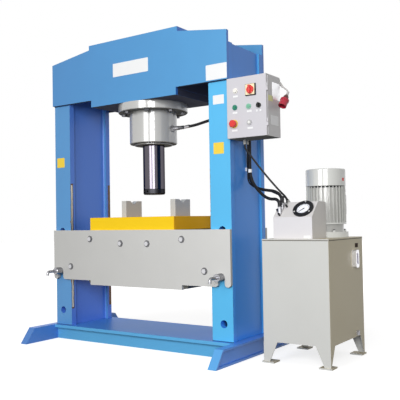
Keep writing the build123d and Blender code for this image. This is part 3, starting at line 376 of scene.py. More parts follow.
def add_bump(tree, shader, height, strength, distance):
    bump = add_node(tree, "Bump", Strength=strength, Distance=distance, Height=height)
    tree.links.new(bump.outputs["Normal"], shader["Normal"])


print("material helpers ready")

# %% Paint recipe
# A coat of lacquer is its weight, its roughness and its index of refraction.
thin_coat, no_coat = (0.15, 0.25, 1.5), (0.0, 0.3, 1.5)
polished_coat, motor_coat = (1.0, 0.06, 1.7), (1.0, 0.1, 1.6)


def enamel(
    name, color, far=None, side_shade=None, side_shade_low=None, under_shade=None, inside=None, valley=None,
    roughness=0.42, amount=0.08, wear_color=None, bands=(), coat=thin_coat, shine=0.5,
):
    material, tree, shader = start_finish(
        name, Coat_Weight=coat[0], Coat_Roughness=coat[1], Coat_IOR=coat[2], Specular_IOR_Level=shine
    )
    paint = (*color, 1)
    # A far colour is painted light: the part comes out lighter towards its +X end.
    if far:
        paint = group_node(tree, light_fade, Near=paint, Far=(*far, 1), Start=-0.7, End=0.7)["Color"]
    tone = group_node(tree, mottle, Color=paint, Amount=amount)
    surface = tone["Color"]
    gloss = add_math(tree, "ADD", tone["Roughness Shift"], roughness)
    # Faces that look sideways or up take a painted side shade colour; on the right column it grows lighter
    # towards the bottom, painted light.
    if side_shade:
        side_shade_color = (*side_shade, 1)
        if side_shade_low:
            low_side_shade, up = (*side_shade_low, 1), (0, 0, 1)
            side_shade_color = group_node(tree, light_fade, Near=low_side_shade, Far=side_shade_color, Start=0.3, End=1.7, Axis=up)["Color"]
        shaded_by_facing = group_node(tree, side, Color=surface, Deep=side_shade_color)
        surface = shaded_by_facing["Color"]
    # Valleys between ribs take a darker colour as painted shade.
    if valley:
        axis, root, tip, valley_shade = valley
        shade = group_node(tree, ribs, Axis=axis, Root=root, Tip=tip)
        surface = mix_colors(tree, shade["Mask"], surface, (*valley_shade, 1))
    # Faces that look down, and the given inside boxes, take a dark painted shade in place of the paint, matt
    # and without lacquer.
    if under_shade:
        shade_mask = shaded_by_facing["ShadeBelow"]
        if inside:
            recess_shade = group_node(tree, band, Low=inside[0], High=inside[1], Ragged=0.0)
            shade_mask = add_math(tree, "MAXIMUM", shade_mask, recess_shade["Mask"])
        surface = mix_colors(tree, shade_mask, surface, (*under_shade, 1))
        unshaded = add_math(tree, "SUBTRACT", 1.0, shade_mask)
        tree.links.new(add_math(tree, "MULTIPLY", unshaded, coat[0]), shader["Coat Weight"])
        gloss = add_math(tree, "ADD", gloss, add_math(tree, "MULTIPLY", shade_mask, 0.5), clamp=True)
    if wear_color:
        worn = group_node(tree, wear, Width=0.003, Breakup=70.0)
        surface = mix_colors(tree, worn["Mask"], surface, (*wear_color, 1))
    rubbed = None
    for low_corner, high_corner, bare_color in bands:
        mask = group_node(tree, band, Low=low_corner, High=high_corner, Ragged=0.010)["Mask"]
        surface = mix_colors(tree, mask, surface, (*bare_color, 1))
        rubbed = mask if rubbed is None else add_math(tree, "MAXIMUM", rubbed, mask)
    if rubbed is not None:
        tree.links.new(add_math(tree, "MULTIPLY", rubbed, 0.6), shader["Metallic"])
    tree.links.new(surface, shader["Base Color"])
    tree.links.new(gloss, shader["Roughness"])
    add_bump(tree, shader, add_noise(tree, 350.0), 0.05, 0.0005)
    return material


print("enamel recipe ready")

# %% Blue paints of the frame
# The first colour is worn paint; the second, nearly black, is painted shade for undersides and recesses.
blue_worn, blue_under_shade = (0.04, 0.15, 0.36), (0.014, 0.018, 0.042)
bare_pale, bare_brown = (0.66, 0.64, 0.56), (0.11, 0.055, 0.03)
# Beam, base and feet: painted shade underneath and between the beam's plates, painted side shade, and
# lighter towards +X as painted light; the left foot is far darker, painted shade.
beam_blue = enamel(
    "beam_blue", (0.062, 0.243, 0.535), far=(0.070, 0.312, 0.615), side_shade=(0.038, 0.185, 0.63),
    under_shade=blue_under_shade, inside=((-0.566, -0.1955, 1.50), (0.566, 0.1955, 1.70)), wear_color=blue_worn,
)
base_blue = enamel(
    "base_blue", (0.108, 0.395, 0.71), far=(0.112, 0.43, 0.76), side_shade=(0.072, 0.28, 0.80),
    under_shade=blue_under_shade, wear_color=blue_worn, coat=no_coat, shine=0.2,
)
foot_blue = enamel(
    "foot_blue", (0.028, 0.13, 0.34), far=(0.085, 0.41, 0.69), side_shade=(0.090, 0.28, 0.82),
    under_shade=blue_under_shade, wear_color=blue_worn,
)
# The two columns carry one blue: the left copy is darker, painted shade, and the right copy lighter, painted
# light.
column_blue_left_shaded = enamel(
    "column_blue_left_shaded", (0.082, 0.28, 0.575), side_shade=(0.085, 0.235, 0.80), wear_color=blue_worn,
    bands=(
        ((-0.563, -0.194, 0.205), (-0.556, -0.171, 1.04), bare_brown),
        ((-0.563, -0.190, 0.215), (-0.556, -0.178, 1.03), bare_pale),
        ((-0.563, 0.172, 0.19), (-0.556, 0.194, 1.04), bare_brown),
    ),
)
column_blue_right_lit = enamel(
    "column_blue_right_lit", (0.08, 0.47, 0.82), side_shade=(0.038, 0.225, 0.72), side_shade_low=(0.062, 0.355, 1.0),
    wear_color=blue_worn,
    bands=(
        ((0.556, -0.196, 0.80), (0.562, -0.171, 1.08), bare_brown),
        ((0.556, 0.172, 0.20), (0.563, 0.194, 1.04), bare_pale),
    ),
)
# The weld colour is a dark painted shade.
weld_shade_blue = enamel("weld_shade_blue", (0.012, 0.045, 0.16), roughness=0.6, amount=0.2, shine=0.2)
print("blue paints:", len([m for m in bpy.data.materials if "blue" in m.name]))

# %% Grey and yellow paints
motor_x, motor_y = 1.096, 0.199
# Most grey paints are dark underneath as painted shade, and the bed also between its plates; their side
# colours are painted side shade.
bed_grey = enamel(
    "bed_grey", (0.50, 0.50, 0.485), far=(0.61, 0.61, 0.595), side_shade=(0.56, 0.56, 0.54),
    under_shade=(0.12, 0.12, 0.11), inside=((-0.8, -0.197, 0.30), (0.8, 0.197, 0.72)), roughness=0.5,
    wear_color=(0.7, 0.7, 0.68),
)
table_yellow = enamel(
    "table_yellow", (0.93, 0.61, 0.010), side_shade=(1.0, 0.50, 0.004), roughness=0.5,
    wear_color=(0.7, 0.5, 0.05), coat=no_coat, shine=0.2,
)
block_grey = enamel(
    "block_grey", (0.52, 0.53, 0.52), side_shade=(0.50, 0.52, 0.53), roughness=0.5,
    wear_color=(0.75, 0.75, 0.75), shine=0.3,
)
cylinder_grey = enamel(
    "cylinder_grey", (0.47, 0.47, 0.455), side_shade=(0.48, 0.48, 0.465), under_shade=(0.11, 0.11, 0.10),
    roughness=0.35, wear_color=(0.3, 0.3, 0.29), coat=polished_coat,
)
box_grey = enamel(
    "box_grey", (0.585, 0.575, 0.615), side_shade=(0.60, 0.595, 0.60), under_shade=(0.12, 0.115, 0.09),
    roughness=0.45, amount=0.04,
)
pump_grey = enamel(
    "pump_grey", (0.605, 0.61, 0.590), side_shade=(0.53, 0.475, 0.335), under_shade=(0.18, 0.17, 0.13),
    roughness=0.5, wear_color=(0.45, 0.45, 0.42), shine=0.35,
)
hood_grey = enamel(
    "hood_grey", (0.70, 0.69, 0.72), side_shade=(0.68, 0.66, 0.64), roughness=0.45, wear_color=(0.5, 0.5, 0.5)
)
# The darker colour in the motor's rib valleys is painted shade.
motor_grey = enamel(
    "motor_grey", (0.62, 0.63, 0.605), valley=((motor_x, motor_y, 0), 0.0995, 0.1115, (0.40, 0.40, 0.38)),
    roughness=0.4, wear_color=(0.4, 0.4, 0.38), coat=motor_coat,
)
print("paints made:", len(bpy.data.materials))

# %% [markdown]
# ## Bare metal, rubber and plastic
# The ram is hard chrome: almost a mirror, with faint rings left by polishing. Bolts and pins are
# zinc plated or bright steel, duller and slightly uneven. Hose rubber is near black and matt, with
# a fine texture. The plastics of the control devices are smooth and a little glossy. The large
# label on the box's side is metal foil, which mirrors the white studio. A piece in several colours,
# such as the ring set round the buttons, has a sharp box of its second colour laid over the first.

# %% Metal and plastic recipes
def metal(name, color, roughness, stretch=1.0, scale=120.0, depth=0.05, spread=0.14, amount=0.2, rim=1.0):
    material, tree, shader = start_finish(name, Metallic=1.0, Specular_Tint=(rim, rim, rim, 1))
    tone = group_node(tree, mottle, Color=(*color, 1), Amount=amount)
    tree.links.new(tone["Color"], shader["Base Color"])
    across = stretch if isinstance(stretch, tuple) else (stretch, stretch, stretch)
    streaks = group_node(tree, grain, Stretch=across, Scale=scale)["Mask"]
    shift = add_math(tree, "MULTIPLY", streaks, spread)
    tree.links.new(add_math(tree, "ADD", shift, roughness), shader["Roughness"])
    add_bump(tree, shader, streaks, depth, 0.0004)
    return material


def plastic(name, color, roughness=0.35, texture=400.0, depth=0.04, shine=0.5, zones=()):
    material, tree, shader = start_finish(name, Specular_IOR_Level=shine)
    tone = group_node(tree, mottle, Color=(*color, 1), Amount=0.08)
    surface = tone["Color"]
    for low_corner, high_corner, zone_color in zones:
        zone = group_node(tree, band, Low=low_corner, High=high_corner, Ragged=0.0)
        surface = mix_colors(tree, zone["Mask"], surface, (*zone_color, 1))
    tree.links.new(surface, shader["Base Color"])
    tree.links.new(add_math(tree, "ADD", tone["Roughness Shift"], roughness), shader["Roughness"])
    add_bump(tree, shader, add_noise(tree, texture), depth, 0.0003)
    return material


print("metal and plastic recipes ready")

# %% Metals
rod_chrome = metal(
    "rod_chrome", (0.125, 0.115, 0.135), 0.09, (0.2, 0.2, 6.0), 60.0, 0.02, 0.05, 0.05, rim=0.25
)
bright_steel = metal("bright_steel", (0.55, 0.55, 0.57), 0.26, scale=150.0, rim=0.6)
pin_steel = metal("pin_steel", (0.36, 0.36, 0.38), 0.18, 1.0, 110.0, 0.1, 0.2, 0.3, rim=0.4)
nose_steel = metal("nose_steel", (0.035, 0.035, 0.04), 0.3, (0.3, 0.3, 5.0), 80.0, rim=0.25)
dark_iron = metal("dark_iron", (0.16, 0.16, 0.165), 0.5, 1.0, 90.0, 0.2, rim=0.5)
zinc_grey = metal("zinc_grey", (0.42, 0.42, 0.44), 0.34, scale=200.0, rim=0.5)
zinc_dark = metal("zinc_dark", (0.14, 0.14, 0.15), 0.4, scale=200.0, rim=0.4)
label_foil = metal("label_foil", (0.93, 0.93, 0.95), 0.42, 1.0, 40.0, 0.0, 0.04, 0.02)
sight_frame = metal("sight_frame", (0.80, 0.80, 0.83), 0.30, 1.0, 90.0, 0.02, 0.08, 0.06)
print("finishes so far:", len(bpy.data.materials))

# %% Rubber and plastics
hose_rubber = plastic("hose_rubber", (0.008, 0.008, 0.010), 0.6, 900.0, 0.15, shine=0.2)
black_plastic = plastic("black_plastic", (0.008, 0.008, 0.010), 0.42, shine=0.3)
white_plastic = plastic("white_plastic", (0.82, 0.82, 0.80))
gland_grey = plastic(
    "gland_grey", (0.50, 0.50, 0.48), 0.4, zones=(((0.6, -0.3, 1.0), (0.8, 0.2, 1.12), (0.85, 0.85, 0.83)),)
)
bezel_mixed = plastic(
    "bezel_mixed", (0.45, 0.45, 0.46), 0.3,
    zones=(
        ((0.74, -0.3, 1.37), (0.78, -0.2, 1.42), (0.02, 0.21, 0.16)),
        ((0.82, -0.3, 1.37), (0.87, -0.2, 1.42), (0.24, 0.50, 0.38)),
        ((0.89, -0.3, 1.37), (0.93, -0.2, 1.42), (0.62, 0.62, 0.63)),
        ((0.74, -0.3, 1.46), (0.79, -0.2, 1.52), (0.30, 0.10, 0.08)),
    ),
)
plug_red = plastic(
    "plug_red", (0.42, 0.016, 0.040), 0.2,
    zones=(((0.98, -0.10, 1.436), (1.02, -0.05, 1.47), (0.10, 0.02, 0.018)),),
)
lead_grey = plastic("lead_grey", (0.50, 0.48, 0.47), 0.5)
switch_red = plastic("switch_red", (0.72, 0.035, 0.030), 0.28)
switch_cream = plastic("switch_cream", (0.90, 0.80, 0.52), 0.4)
switch_yellow = plastic("switch_yellow", (0.85, 0.60, 0.05), 0.4)
start_green = plastic("start_green", (0.01, 0.22, 0.11), 0.28)
down_green = plastic("down_green", (0.16, 0.48, 0.30), 0.28)
lamp_white = plastic("lamp_white", (0.88, 0.86, 0.80), 0.2)
label_white = plastic("label_white", (0.84, 0.85, 0.86), 0.5)
label_yellow = plastic("label_yellow", (0.86, 0.62, 0.05), 0.5)
label_lime = plastic("label_lime", (0.74, 0.76, 0.38), 0.5)
label_brown = plastic("label_brown", (0.022, 0.010, 0.005), 0.7, shine=0.1)
dial_white = plastic("dial_white", (0.80, 0.80, 0.86))
ink_black = plastic("ink_black", (0.01, 0.01, 0.01), 0.6)
sight_clear = plastic("sight_clear", (0.40, 0.36, 0.52), 0.45, shine=0.2)
gasket_brown = plastic("gasket_brown", (0.10, 0.09, 0.07), 0.6, shine=0.2)
print("finishes:", len(bpy.data.materials))

# %% [markdown]
# ## Gauge glass
# The gauge's dial lies behind a thin flat pane. A pane this thin hardly bends light, so its index
# of refraction is set low and the dial stays clear behind it. A trace of mottle stands for grease.

# %% Gauge glass
glass_material, tree, glass_shader = start_finish("gauge_glass_clear", Transmission_Weight=1.0, IOR=1.1)
smear = group_node(tree, mottle, Color=(0.97, 0.98, 0.98, 1), Amount=0.02)
tree.links.new(smear["Color"], glass_shader["Base Color"])
tree.links.new(add_math(tree, "ADD", smear["Roughness Shift"], 0.03), glass_shader["Roughness"])
print("glass:", glass_material.name)

# %% [markdown]
# ## Finishes on the CAD nodes
# Every CAD node keeps its shape and gets its real finish. Sharp plate edges never look sharp in
# life: a flame-cut or sheared edge is dressed with a grinder. A narrow bevel modifier rounds them,
# so each edge catches a thin line of light.

# %% Finish for each node
node_finish = {
    beam_blue: "beam_front_plate beam_rear_plate beam_base_plate beam_top_plate beam_ribs",
    base_blue: "base_plate base_bars",
    foot_blue: "foot_left foot_right",
    column_blue_left_shaded: "column_left",
    column_blue_right_lit: "column_right",
    bed_grey: "bed_front_plate bed_rear_plate bed_spacers",
    table_yellow: "table_plate",
    block_grey: "v_block_left v_block_right",
    cylinder_grey: "cylinder_barrel gland_ring",
    box_grey: "control_box box_door",
    pump_grey: "tank_shell tank_lid",
    hood_grey: "console_hood",
    motor_grey: "motor_housing motor_cowl",
    rod_chrome: "ram_rod",
    nose_steel: "ram_nose piston",
    dark_iron: "motor_rotor bellhousing gear_pump",
    bright_steel: "suction_pipe bed_bolts",
    pin_steel: "pin_left pin_right",
    zinc_grey: "port_fittings valve_manifold drain_plug",
    zinc_dark: "flange_bolts",
    bezel_mixed: "button_bezels",
    black_plastic: "main_switch_plate selector_knob gauge_case",
    gland_grey: "cable_glands",
    switch_red: "main_switch_handle estop_button",
    plug_red: "mains_plug",
    start_green: "start_button",
    down_green: "down_button",
    white_plastic: "up_button",
    sight_frame: "sight_gauge",
    lamp_white: "pilot_lamp",
    ink_black: "gauge_needle",
    glass_material: "gauge_glass",
}
dressed = 0
for material, names in node_finish.items():
    for name in names.split():
        nodes[name].data.materials.clear()
        nodes[name].data.materials.append(material)
        dressed += 1
print("nodes dressed:", dressed)

# %% Dressed edges
edge_widths = {
    0.0015: "beam_front_plate beam_rear_plate base_plate base_bars foot_left foot_right",
    0.0012: "column_left column_right bed_front_plate bed_rear_plate table_plate",
    0.0010: "v_block_left v_block_right tank_shell console_hood",
}
for width, names in edge_widths.items():
    for name in names.split():
        bevel = nodes[name].modifiers.new("dressed_edge", "BEVEL")
        bevel.width = width
        bevel.segments = 2
        bevel.limit_method = "ANGLE"
        bevel.angle_limit = math.radians(35)
        bevel.harden_normals = False
print("edge widths in mm:", [width / mm for width in edge_widths])

# %% [markdown]
# ## Helpers for small parts
# Most of the added parts are one of a few kinds: a thin plate, a turned part, a bead of weld or a
# screw. Each helper makes real mesh, puts it in place, gives it a finish and lets it ride on the
# body that carries it.

# %% Mesh helpers
def from_bmesh(name, mesh, material, body="press", smooth=False):
    data = bpy.data.meshes.new(name)
    mesh.to_mesh(data)
    mesh.free()
    obj = bpy.data.objects.new(name, data)
    scene.collection.objects.link(obj)
    data.materials.append(material)
    if smooth:
        for polygon in data.polygons:
            polygon.use_smooth = True
    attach(obj, body)
    return obj


def bridge(mesh, lower, upper):
    for i in range(len(lower)):
        j = (i + 1) % len(lower)
        mesh.faces.new((lower[i], lower[j], upper[j], upper[i]))


def round_ring(mesh, centre, across, up, size, sides):
    ring = []
    for k in range(sides):
        angle = 2 * math.pi * k / sides
        ring.append(mesh.verts.new(centre + (across * math.cos(angle) + up * math.sin(angle)) * size))
    return ring


def rounded_outline(width, height, radius, steps=5):
    points = []
    for cx, cy, start in (
        (width / 2 - radius, height / 2 - radius, 0),
        (-width / 2 + radius, height / 2 - radius, 90),
        (-width / 2 + radius, -height / 2 + radius, 180),
        (width / 2 - radius, -height / 2 + radius, 270),
    ):
        for i in range(steps + 1):
            angle = math.radians(start + 90 * i / steps)
            points.append((cx + radius * math.cos(angle), cy + radius * math.sin(angle)))
    return points


def frame_of(origin, normal, up=(0, 0, 1)):
    z = Vector(normal).normalized()
    y = (Vector(up) - z * Vector(up).dot(z)).normalized()
    matrix = Matrix((y.cross(z), y, z)).transposed().to_4x4()
    matrix.translation = Vector(origin)
    return matrix


print("mesh helpers ready")

# %% Thin plate and turned part
def plate(name, origin, normal, width, height, thickness, material, radius=0.003, edge=0.0004, body="press"):
    mesh = bmesh.new()
    place = frame_of(origin, normal)
    rim = rounded_outline(width, height, radius)
    inner = rounded_outline(width - 2 * edge, height - 2 * edge, max(radius - edge, 0.0002))
    rings = []
    for outline, z in ((rim, 0), (rim, thickness - edge), (inner, thickness)):
        rings.append([mesh.verts.new(place @ Vector((x, y, z))) for x, y in outline])
    for lower, upper in zip(rings, rings[1:]):
        bridge(mesh, lower, upper)
    mesh.faces.new(rings[-1])
    mesh.faces.new(list(reversed(rings[0])))
    return from_bmesh(name, mesh, material, body)


def turned(name, origin, axis, profile, material, steps=48, smooth=True, body="press"):
    mesh = bmesh.new()
    up = (0, 0, 1) if abs(Vector(axis).normalized().z) < 0.9 else (0, 1, 0)
    place = frame_of(origin, axis, up)
    rings = []
    for radius, z in profile:
        ring = []
        for i in range(steps if radius else 1):
            angle = 2 * math.pi * i / steps
            spot = Vector((radius * math.cos(angle), radius * math.sin(angle), z))
            ring.append(mesh.verts.new(place @ spot))
        rings.append(ring)
    for lower, upper in zip(rings, rings[1:]):
        for i in range(steps):
            j = (i + 1) % steps
            corners = [ring[k % len(ring)] for ring, k in ((lower, i), (lower, j), (upper, j), (upper, i))]
            unique = list(dict.fromkeys(corners))
            if len(unique) > 2:
                mesh.faces.new(unique)
    bmesh.ops.recalc_face_normals(mesh, faces=mesh.faces)
    obj = from_bmesh(name, mesh, material, body, smooth)
    if smooth:
        obj.data.set_sharp_from_angle(angle=math.radians(32))
    return obj


print("plate and turning helpers ready")

# %% [markdown]
# ## Hoses and cables
# Two hydraulic hoses feed the cylinder. Each lies on one smooth NURBS curve whose control points
# are the corners of the CAD route, so it hangs with the same slack. The points are listed in order:
# out of the fitting, through the column, down behind the control box and over to the console.
# A round bevel gives the curve its thickness.

# %% Cord helpers
def smooth_cord(name, points, radius, material):
    curve = bpy.data.curves.new(name, "CURVE")
    curve.dimensions = "3D"
    curve.resolution_u = 12
    spline = curve.splines.new("NURBS")
    spline.points.add(len(points) - 1)
    for point, (x, y, z) in zip(spline.points, points):
        point.co = (x * mm, y * mm, z * mm, 1)
    spline.order_u = 3
    spline.use_endpoint_u = True
    curve.bevel_depth = radius * mm
    curve.bevel_resolution = 6
    curve.use_fill_caps = True
    curve.materials.append(material)
    cord = bpy.data.objects.new(name, curve)
    scene.collection.objects.link(cord)
    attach(cord, "press")
    return cord


def cord_line(cord):
    plain = cord.data.copy()
    plain.bevel_depth = 0
    holder = bpy.data.objects.new("cord_line_reader", plain)
    scene.collection.objects.link(holder)
    bpy.context.view_layer.update()
    line = bpy.data.meshes.new_from_object(holder.evaluated_get(bpy.context.evaluated_depsgraph_get()))
    points = [v.co.copy() for v in line.vertices]
    bpy.data.objects.remove(holder)
    bpy.data.curves.remove(plain)
    bpy.data.meshes.remove(line)
    return points


def line_length(points):
    return sum((b - a).length for a, b in zip(points, points[1:]))


print("cord helpers ready")

# %% The two hydraulic hoses
hose_radius = 8.75
lower_hose = smooth_cord(
    "lower_hose",
    [
        (205, 0, 1363), (300, 0, 1363), (420, -9, 1382), (560, -26, 1401),
        (726, -33, 1394), (734, -33, 1230), (730, -31, 1110), (732, -32, 1028),
        (770, -42, 962), (858, -64, 890), (946, -86, 892), (946, -86, 846),
    ],
    hose_radius, hose_rubber,
)
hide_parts("hose_lower_port")
lower_length = line_length(cord_line(lower_hose))
upper_hose = smooth_cord(
    "upper_hose",
    [
        (205, 0, 1790), (368, 0, 1790), (545, 2, 1690), (716, 3, 1492),
        (711, 5, 1300), (699, 2, 1128), (704, 1, 1032), (748, -10, 962),
        (828, -28, 945), (900, -45, 937), (946, -56, 903), (946, -56, 868),
    ],
    hose_radius, hose_rubber,
)
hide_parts("hose_upper_port")
upper_length = line_length(cord_line(upper_hose))
print("hose lengths:", short((lower_length, upper_length)))

# %% [markdown]
# The motor's supply runs in a corrugated conduit. Its rings are real geometry: a tube mesh whose
# radius swells and shrinks along the line. The line itself is read back from a smooth curve.

# %% Corrugated conduit
def ringed_tube(name, line, radius, pitch, depth, material, sides=14):
    mesh = bmesh.new()
    total = line_length(line)
    count = int(total / (pitch / 4))
    ends = [0.0]
    for a, b in zip(line, line[1:]):
        ends.append(ends[-1] + (b - a).length)
    path = []
    span = 0
    for i in range(count + 1):
        want = total * i / count
        while span < len(line) - 2 and ends[span + 1] < want:
            span += 1
        part = (want - ends[span]) / max(ends[span + 1] - ends[span], 1e-9)
        path.append(line[span].lerp(line[span + 1], part))
    across = Vector((0, 1, 0))
    rings = []
    for i, point in enumerate(path):
        ahead = path[min(i + 1, count)] - path[max(i - 1, 0)]
        ahead.normalize()
        across = (across - ahead * across.dot(ahead)).normalized()
        size = radius - depth * (0.5 - 0.5 * math.cos(2 * math.pi * i / 4))
        rings.append(round_ring(mesh, point, across, ahead.cross(across), size, sides))
    for first, second in zip(rings, rings[1:]):
        bridge(mesh, first, second)
    mesh.faces.new(list(reversed(rings[0])))
    mesh.faces.new(rings[-1])
    bmesh.ops.recalc_face_normals(mesh, faces=mesh.faces)
    return from_bmesh(name, mesh, material, smooth=True), path


conduit_radius, ring_pitch, ring_depth = 6, 4.5, 1.0
conduit_guide = smooth_cord(
    "conduit_guide",
    [
        (757, -131, 1203), (757, -131, 1181), (781, -124.5, 1150), (824, -113, 1087), (885, -97, 1007),
        (918, -77, 961), (938, -52, 928), (946.44, -14.4, 904.65), (951, 0, 886),
    ],
    conduit_radius, black_plastic,
)
conduit_line = cord_line(conduit_guide)
bpy.data.objects.remove(conduit_guide)
conduit, conduit_path = ringed_tube(
    "conduit", conduit_line, conduit_radius * mm, ring_pitch * mm, ring_depth * mm, black_plastic
)
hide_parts("motor_conduit")
print("conduit length:", round(line_length(conduit_path), 3))

# %% [markdown]
# ## Mains plug and its lead
# Where a lead enters a plug or leaves a box, a tapered rubber sleeve spreads its bend. The sleeves
# are turned parts. The plug's open mouth gets a dark disc, the face that its contacts stand in.

# %% Lead reliefs
relief_profile = [
    (0.0046, 0), (0.0058, 0.001), (0.0064, 0.010), (0.0074, 0.020),
    (0.0084, 0.026), (0.0084, 0.028), (0.0046, 0.028),
]
contact_profile = [(0, 0), (0.0194, 0), (0.0194, 0.001), (0.0180, 0.0014), (0, 0.0014)]
plug_axis = Vector((-0.15, -0.50, -0.85)).normalized()
plug_start = Vector((0.998, -0.075, 1.460))
relief_foot, contact_foot = plug_start - plug_axis * 0.026, plug_start + plug_axis * 0.0455
plug_relief = turned("plug_relief", relief_foot, plug_axis, relief_profile, lead_grey, 32)
box_relief = turned("box_relief", (0.9665, -0.062, 1.512), (-0.6, 0, 0.8), relief_profile, lead_grey, 32)
contact_face = turned("plug_contact_face", contact_foot, plug_axis, contact_profile, black_plastic, 32)
print("lead reliefs made")

# %% The valve cable and the mains lead
cable = smooth_cord(
    "cable",
    [
        (762, -107, 1203), (762, -107, 1160), (727, -58, 1112), (712, -22, 1068),
        (706, -17, 1005), (722, 12, 970), (792, -4, 950), (850, -20, 941),
        (900, -36, 922), (938, -41, 906), (968, -42, 896), (968, -42, 865),
    ],
    4, hose_rubber,
)
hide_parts("valve_cable")
cable_length = line_length(cord_line(cable))
lead = smooth_cord(
    "lead",
    [(953, -62, 1530), (968, -62, 1510), (1002.51, -59.96, 1485.56), (998, -75, 1460)],
    4.5, lead_grey,
)
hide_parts("mains_lead")
lead_length = line_length(cord_line(lead))
print("cable and lead:", short((cable_length, lead_length)))

# %% [markdown]
# ## Blank plates on the frame
# The machine carries a long name plate on the beam and a few stickers. They stay blank here: the
# place is finished, and nothing is written on it.

# %% Plates and stickers
front, right = (0, -1, 0), (1, 0, 0)
beam_face, column_face = -0.215, -0.195
sticker = 0.0006
plate("beam_name_plate", (-0.007, beam_face, 1.737), front, 0.285, 0.085, 0.0015, label_white, 0.004)
plate("beam_sticker", (0.628, beam_face, 1.620), front, 0.141, 0.088, sticker, label_white, 0.004)
plate("column_sticker", (0.627, column_face, 1.464), front, 0.074, 0.052, sticker, label_white)
for name, x, z in (("right_warning_blank", 0.623, 1.187), ("left_warning_blank", -0.648, 1.184)):
    plate(name, (x, column_face, z), front, 0.070, 0.065, sticker, label_yellow, 0.004)
print("blank plates placed")

# %% [markdown]
# ## Washers of the tie bolts
# Six tie bolts hold the two bed plates together. A dark hardened washer spreads the pull under each
# head, and its rim stands out as a ring round the bright hexagon.

# %% Washers
washer_profile = [(0.0090, 0), (0.0212, 0), (0.0212, 0.0018), (0.0206, 0.0024), (0.0090, 0.0024)]
bed_face = 0.216
tie_bolts = (
    (-0.367, 0.670), (0.367, 0.670), (-0.107, 0.643), (0.107, 0.643), (-0.542, 0.489), (0.525, 0.489)
)
for x, z in tie_bolts:
    for sign, word in ((-1, "front"), (1, "rear")):
        name = "washer_%s_%d_%d" % (word, x * 1000, z * 1000)
        turned(name, (x, sign * bed_face, z), (0, sign, 0), washer_profile, dark_iron, 32, body="bed")
print("washers:", 2 * len(tie_bolts))

# %% [markdown]
# ## Control box
# The door carries its devices in three rows. The emergency stop sits on a yellow disc, the main
# switch on a cream shield, and narrow blank strips under the buttons hold the legends. The box's
# right side carries three blank labels, of which the largest is foil, and the lip of the door.

# %% Control box trims
door_face, box_side = -0.235, 0.955
stop_profile = [(0.0172, 0), (0.0235, 0), (0.0235, 0.0012), (0.0172, 0.0012)]
turned("stop_disc", (0.752954, door_face, 1.307), front, stop_profile, switch_yellow, body="door")
plate("switch_shield", (0.8595, -0.241, 1.4855), front, 0.056, 0.058, 0.0012, switch_cream, body="door")
for label, x, z, width in (
    ("start", 0.760, 1.368, 0.030),
    ("down", 0.850, 1.368, 0.030),
    ("selector_left", 0.897, 1.366, 0.011),
    ("selector_right", 0.919, 1.366, 0.011),
    ("up", 0.854, 1.276, 0.034),
    ("lamp", 0.764, 1.458, 0.030),
    ("stop", 0.756, 1.270, 0.036),
):
    spot = (x, door_face, z)
    plate("legend_" + label, spot, front, width, 0.010, 0.0008, label_white, 0.001, body="door")
plate("box_side_large_blank", (box_side, -0.1205, 1.4785), right, 0.089, 0.093, sticker, label_foil)
plate("box_side_lime_blank", (box_side, -0.189, 1.4335), right, 0.058, 0.031, sticker, label_lime)
plate("box_side_pale_blank", (box_side, -0.141, 1.317), right, 0.088, 0.052, sticker, label_white)
plate("box_rain_lip", (box_side, -0.2182, 1.395), right, 0.0035, 0.322, 0.0024, box_grey, 0.0012, 0.0008)
print("control box trimmed")

# %% [markdown]
# ## Pressure gauge
# A round gauge sits in the sloping panel. Its dial is a white disc with a scale of ticks. The plain
# numbers that a dial carries are too small to read at this size, so the ticks alone say pressure.

# %% Gauge dial
slope = Vector((0, -1, 1)).normalized()
dial_place = Vector((1.080, -0.0685, 0.8305)) + slope * 0.002
dial_profile = [(0, 0.0001), (0.0370, 0.0001), (0.0370, 0.0004), (0, 0.0004)]
turned("gauge_dial", dial_place, slope, dial_profile, dial_white)
dial_frame = frame_of(dial_place + slope * 0.0004, slope)
tick_count, tick_height, tick_end = 40, Vector((0, 0, 0.0002)), 0.034
ticks = bmesh.new()
for i in range(tick_count + 1):
    angle = math.radians(225 - 270 * i / tick_count)
    start, half = (0.026, 0.0006) if i % 5 == 0 else (0.030, 0.0003)
    out = Vector((math.cos(angle), math.sin(angle), 0))
    wide = Vector((-out.y, out.x, 0)) * half
    corners = [out * start - wide, out * tick_end - wide, out * tick_end + wide, out * start + wide]
    low = [ticks.verts.new(dial_frame @ c) for c in corners]
    top = [ticks.verts.new(dial_frame @ (c + tick_height)) for c in corners]
    ticks.faces.new(top)
    ticks.faces.new(list(reversed(low)))
    bridge(ticks, low, top)
from_bmesh("gauge_ticks", ticks, ink_black)
print("gauge dial made, ticks:", tick_count + 1)

# %% Gauge flange screws
screw_profile = [
    (0, 0), (0.0042, 0), (0.0042, 0.0012), (0.0030, 0.0024), (0.0012, 0.0026), (0.0012, 0.0014), (0, 0.0014)
]
screw_circle, flange_height = 0.050, 0.0066
for turn_deg in (90, 210, 330):
    angle = math.radians(turn_deg)
    spot = Vector((screw_circle * math.cos(angle), screw_circle * math.sin(angle), flange_height))
    turned("gauge_screw_%d" % turn_deg, dial_frame @ spot, slope, screw_profile, white_plastic, 24)
print("gauge screws set")

# %% [markdown]
# ## Console fittings
# The two hoses screw into steel couplings that rise through the sloping panel. Beside them stand the
# small black knobs of the relief valves. All of them are turned parts: a profile spun round an axis.

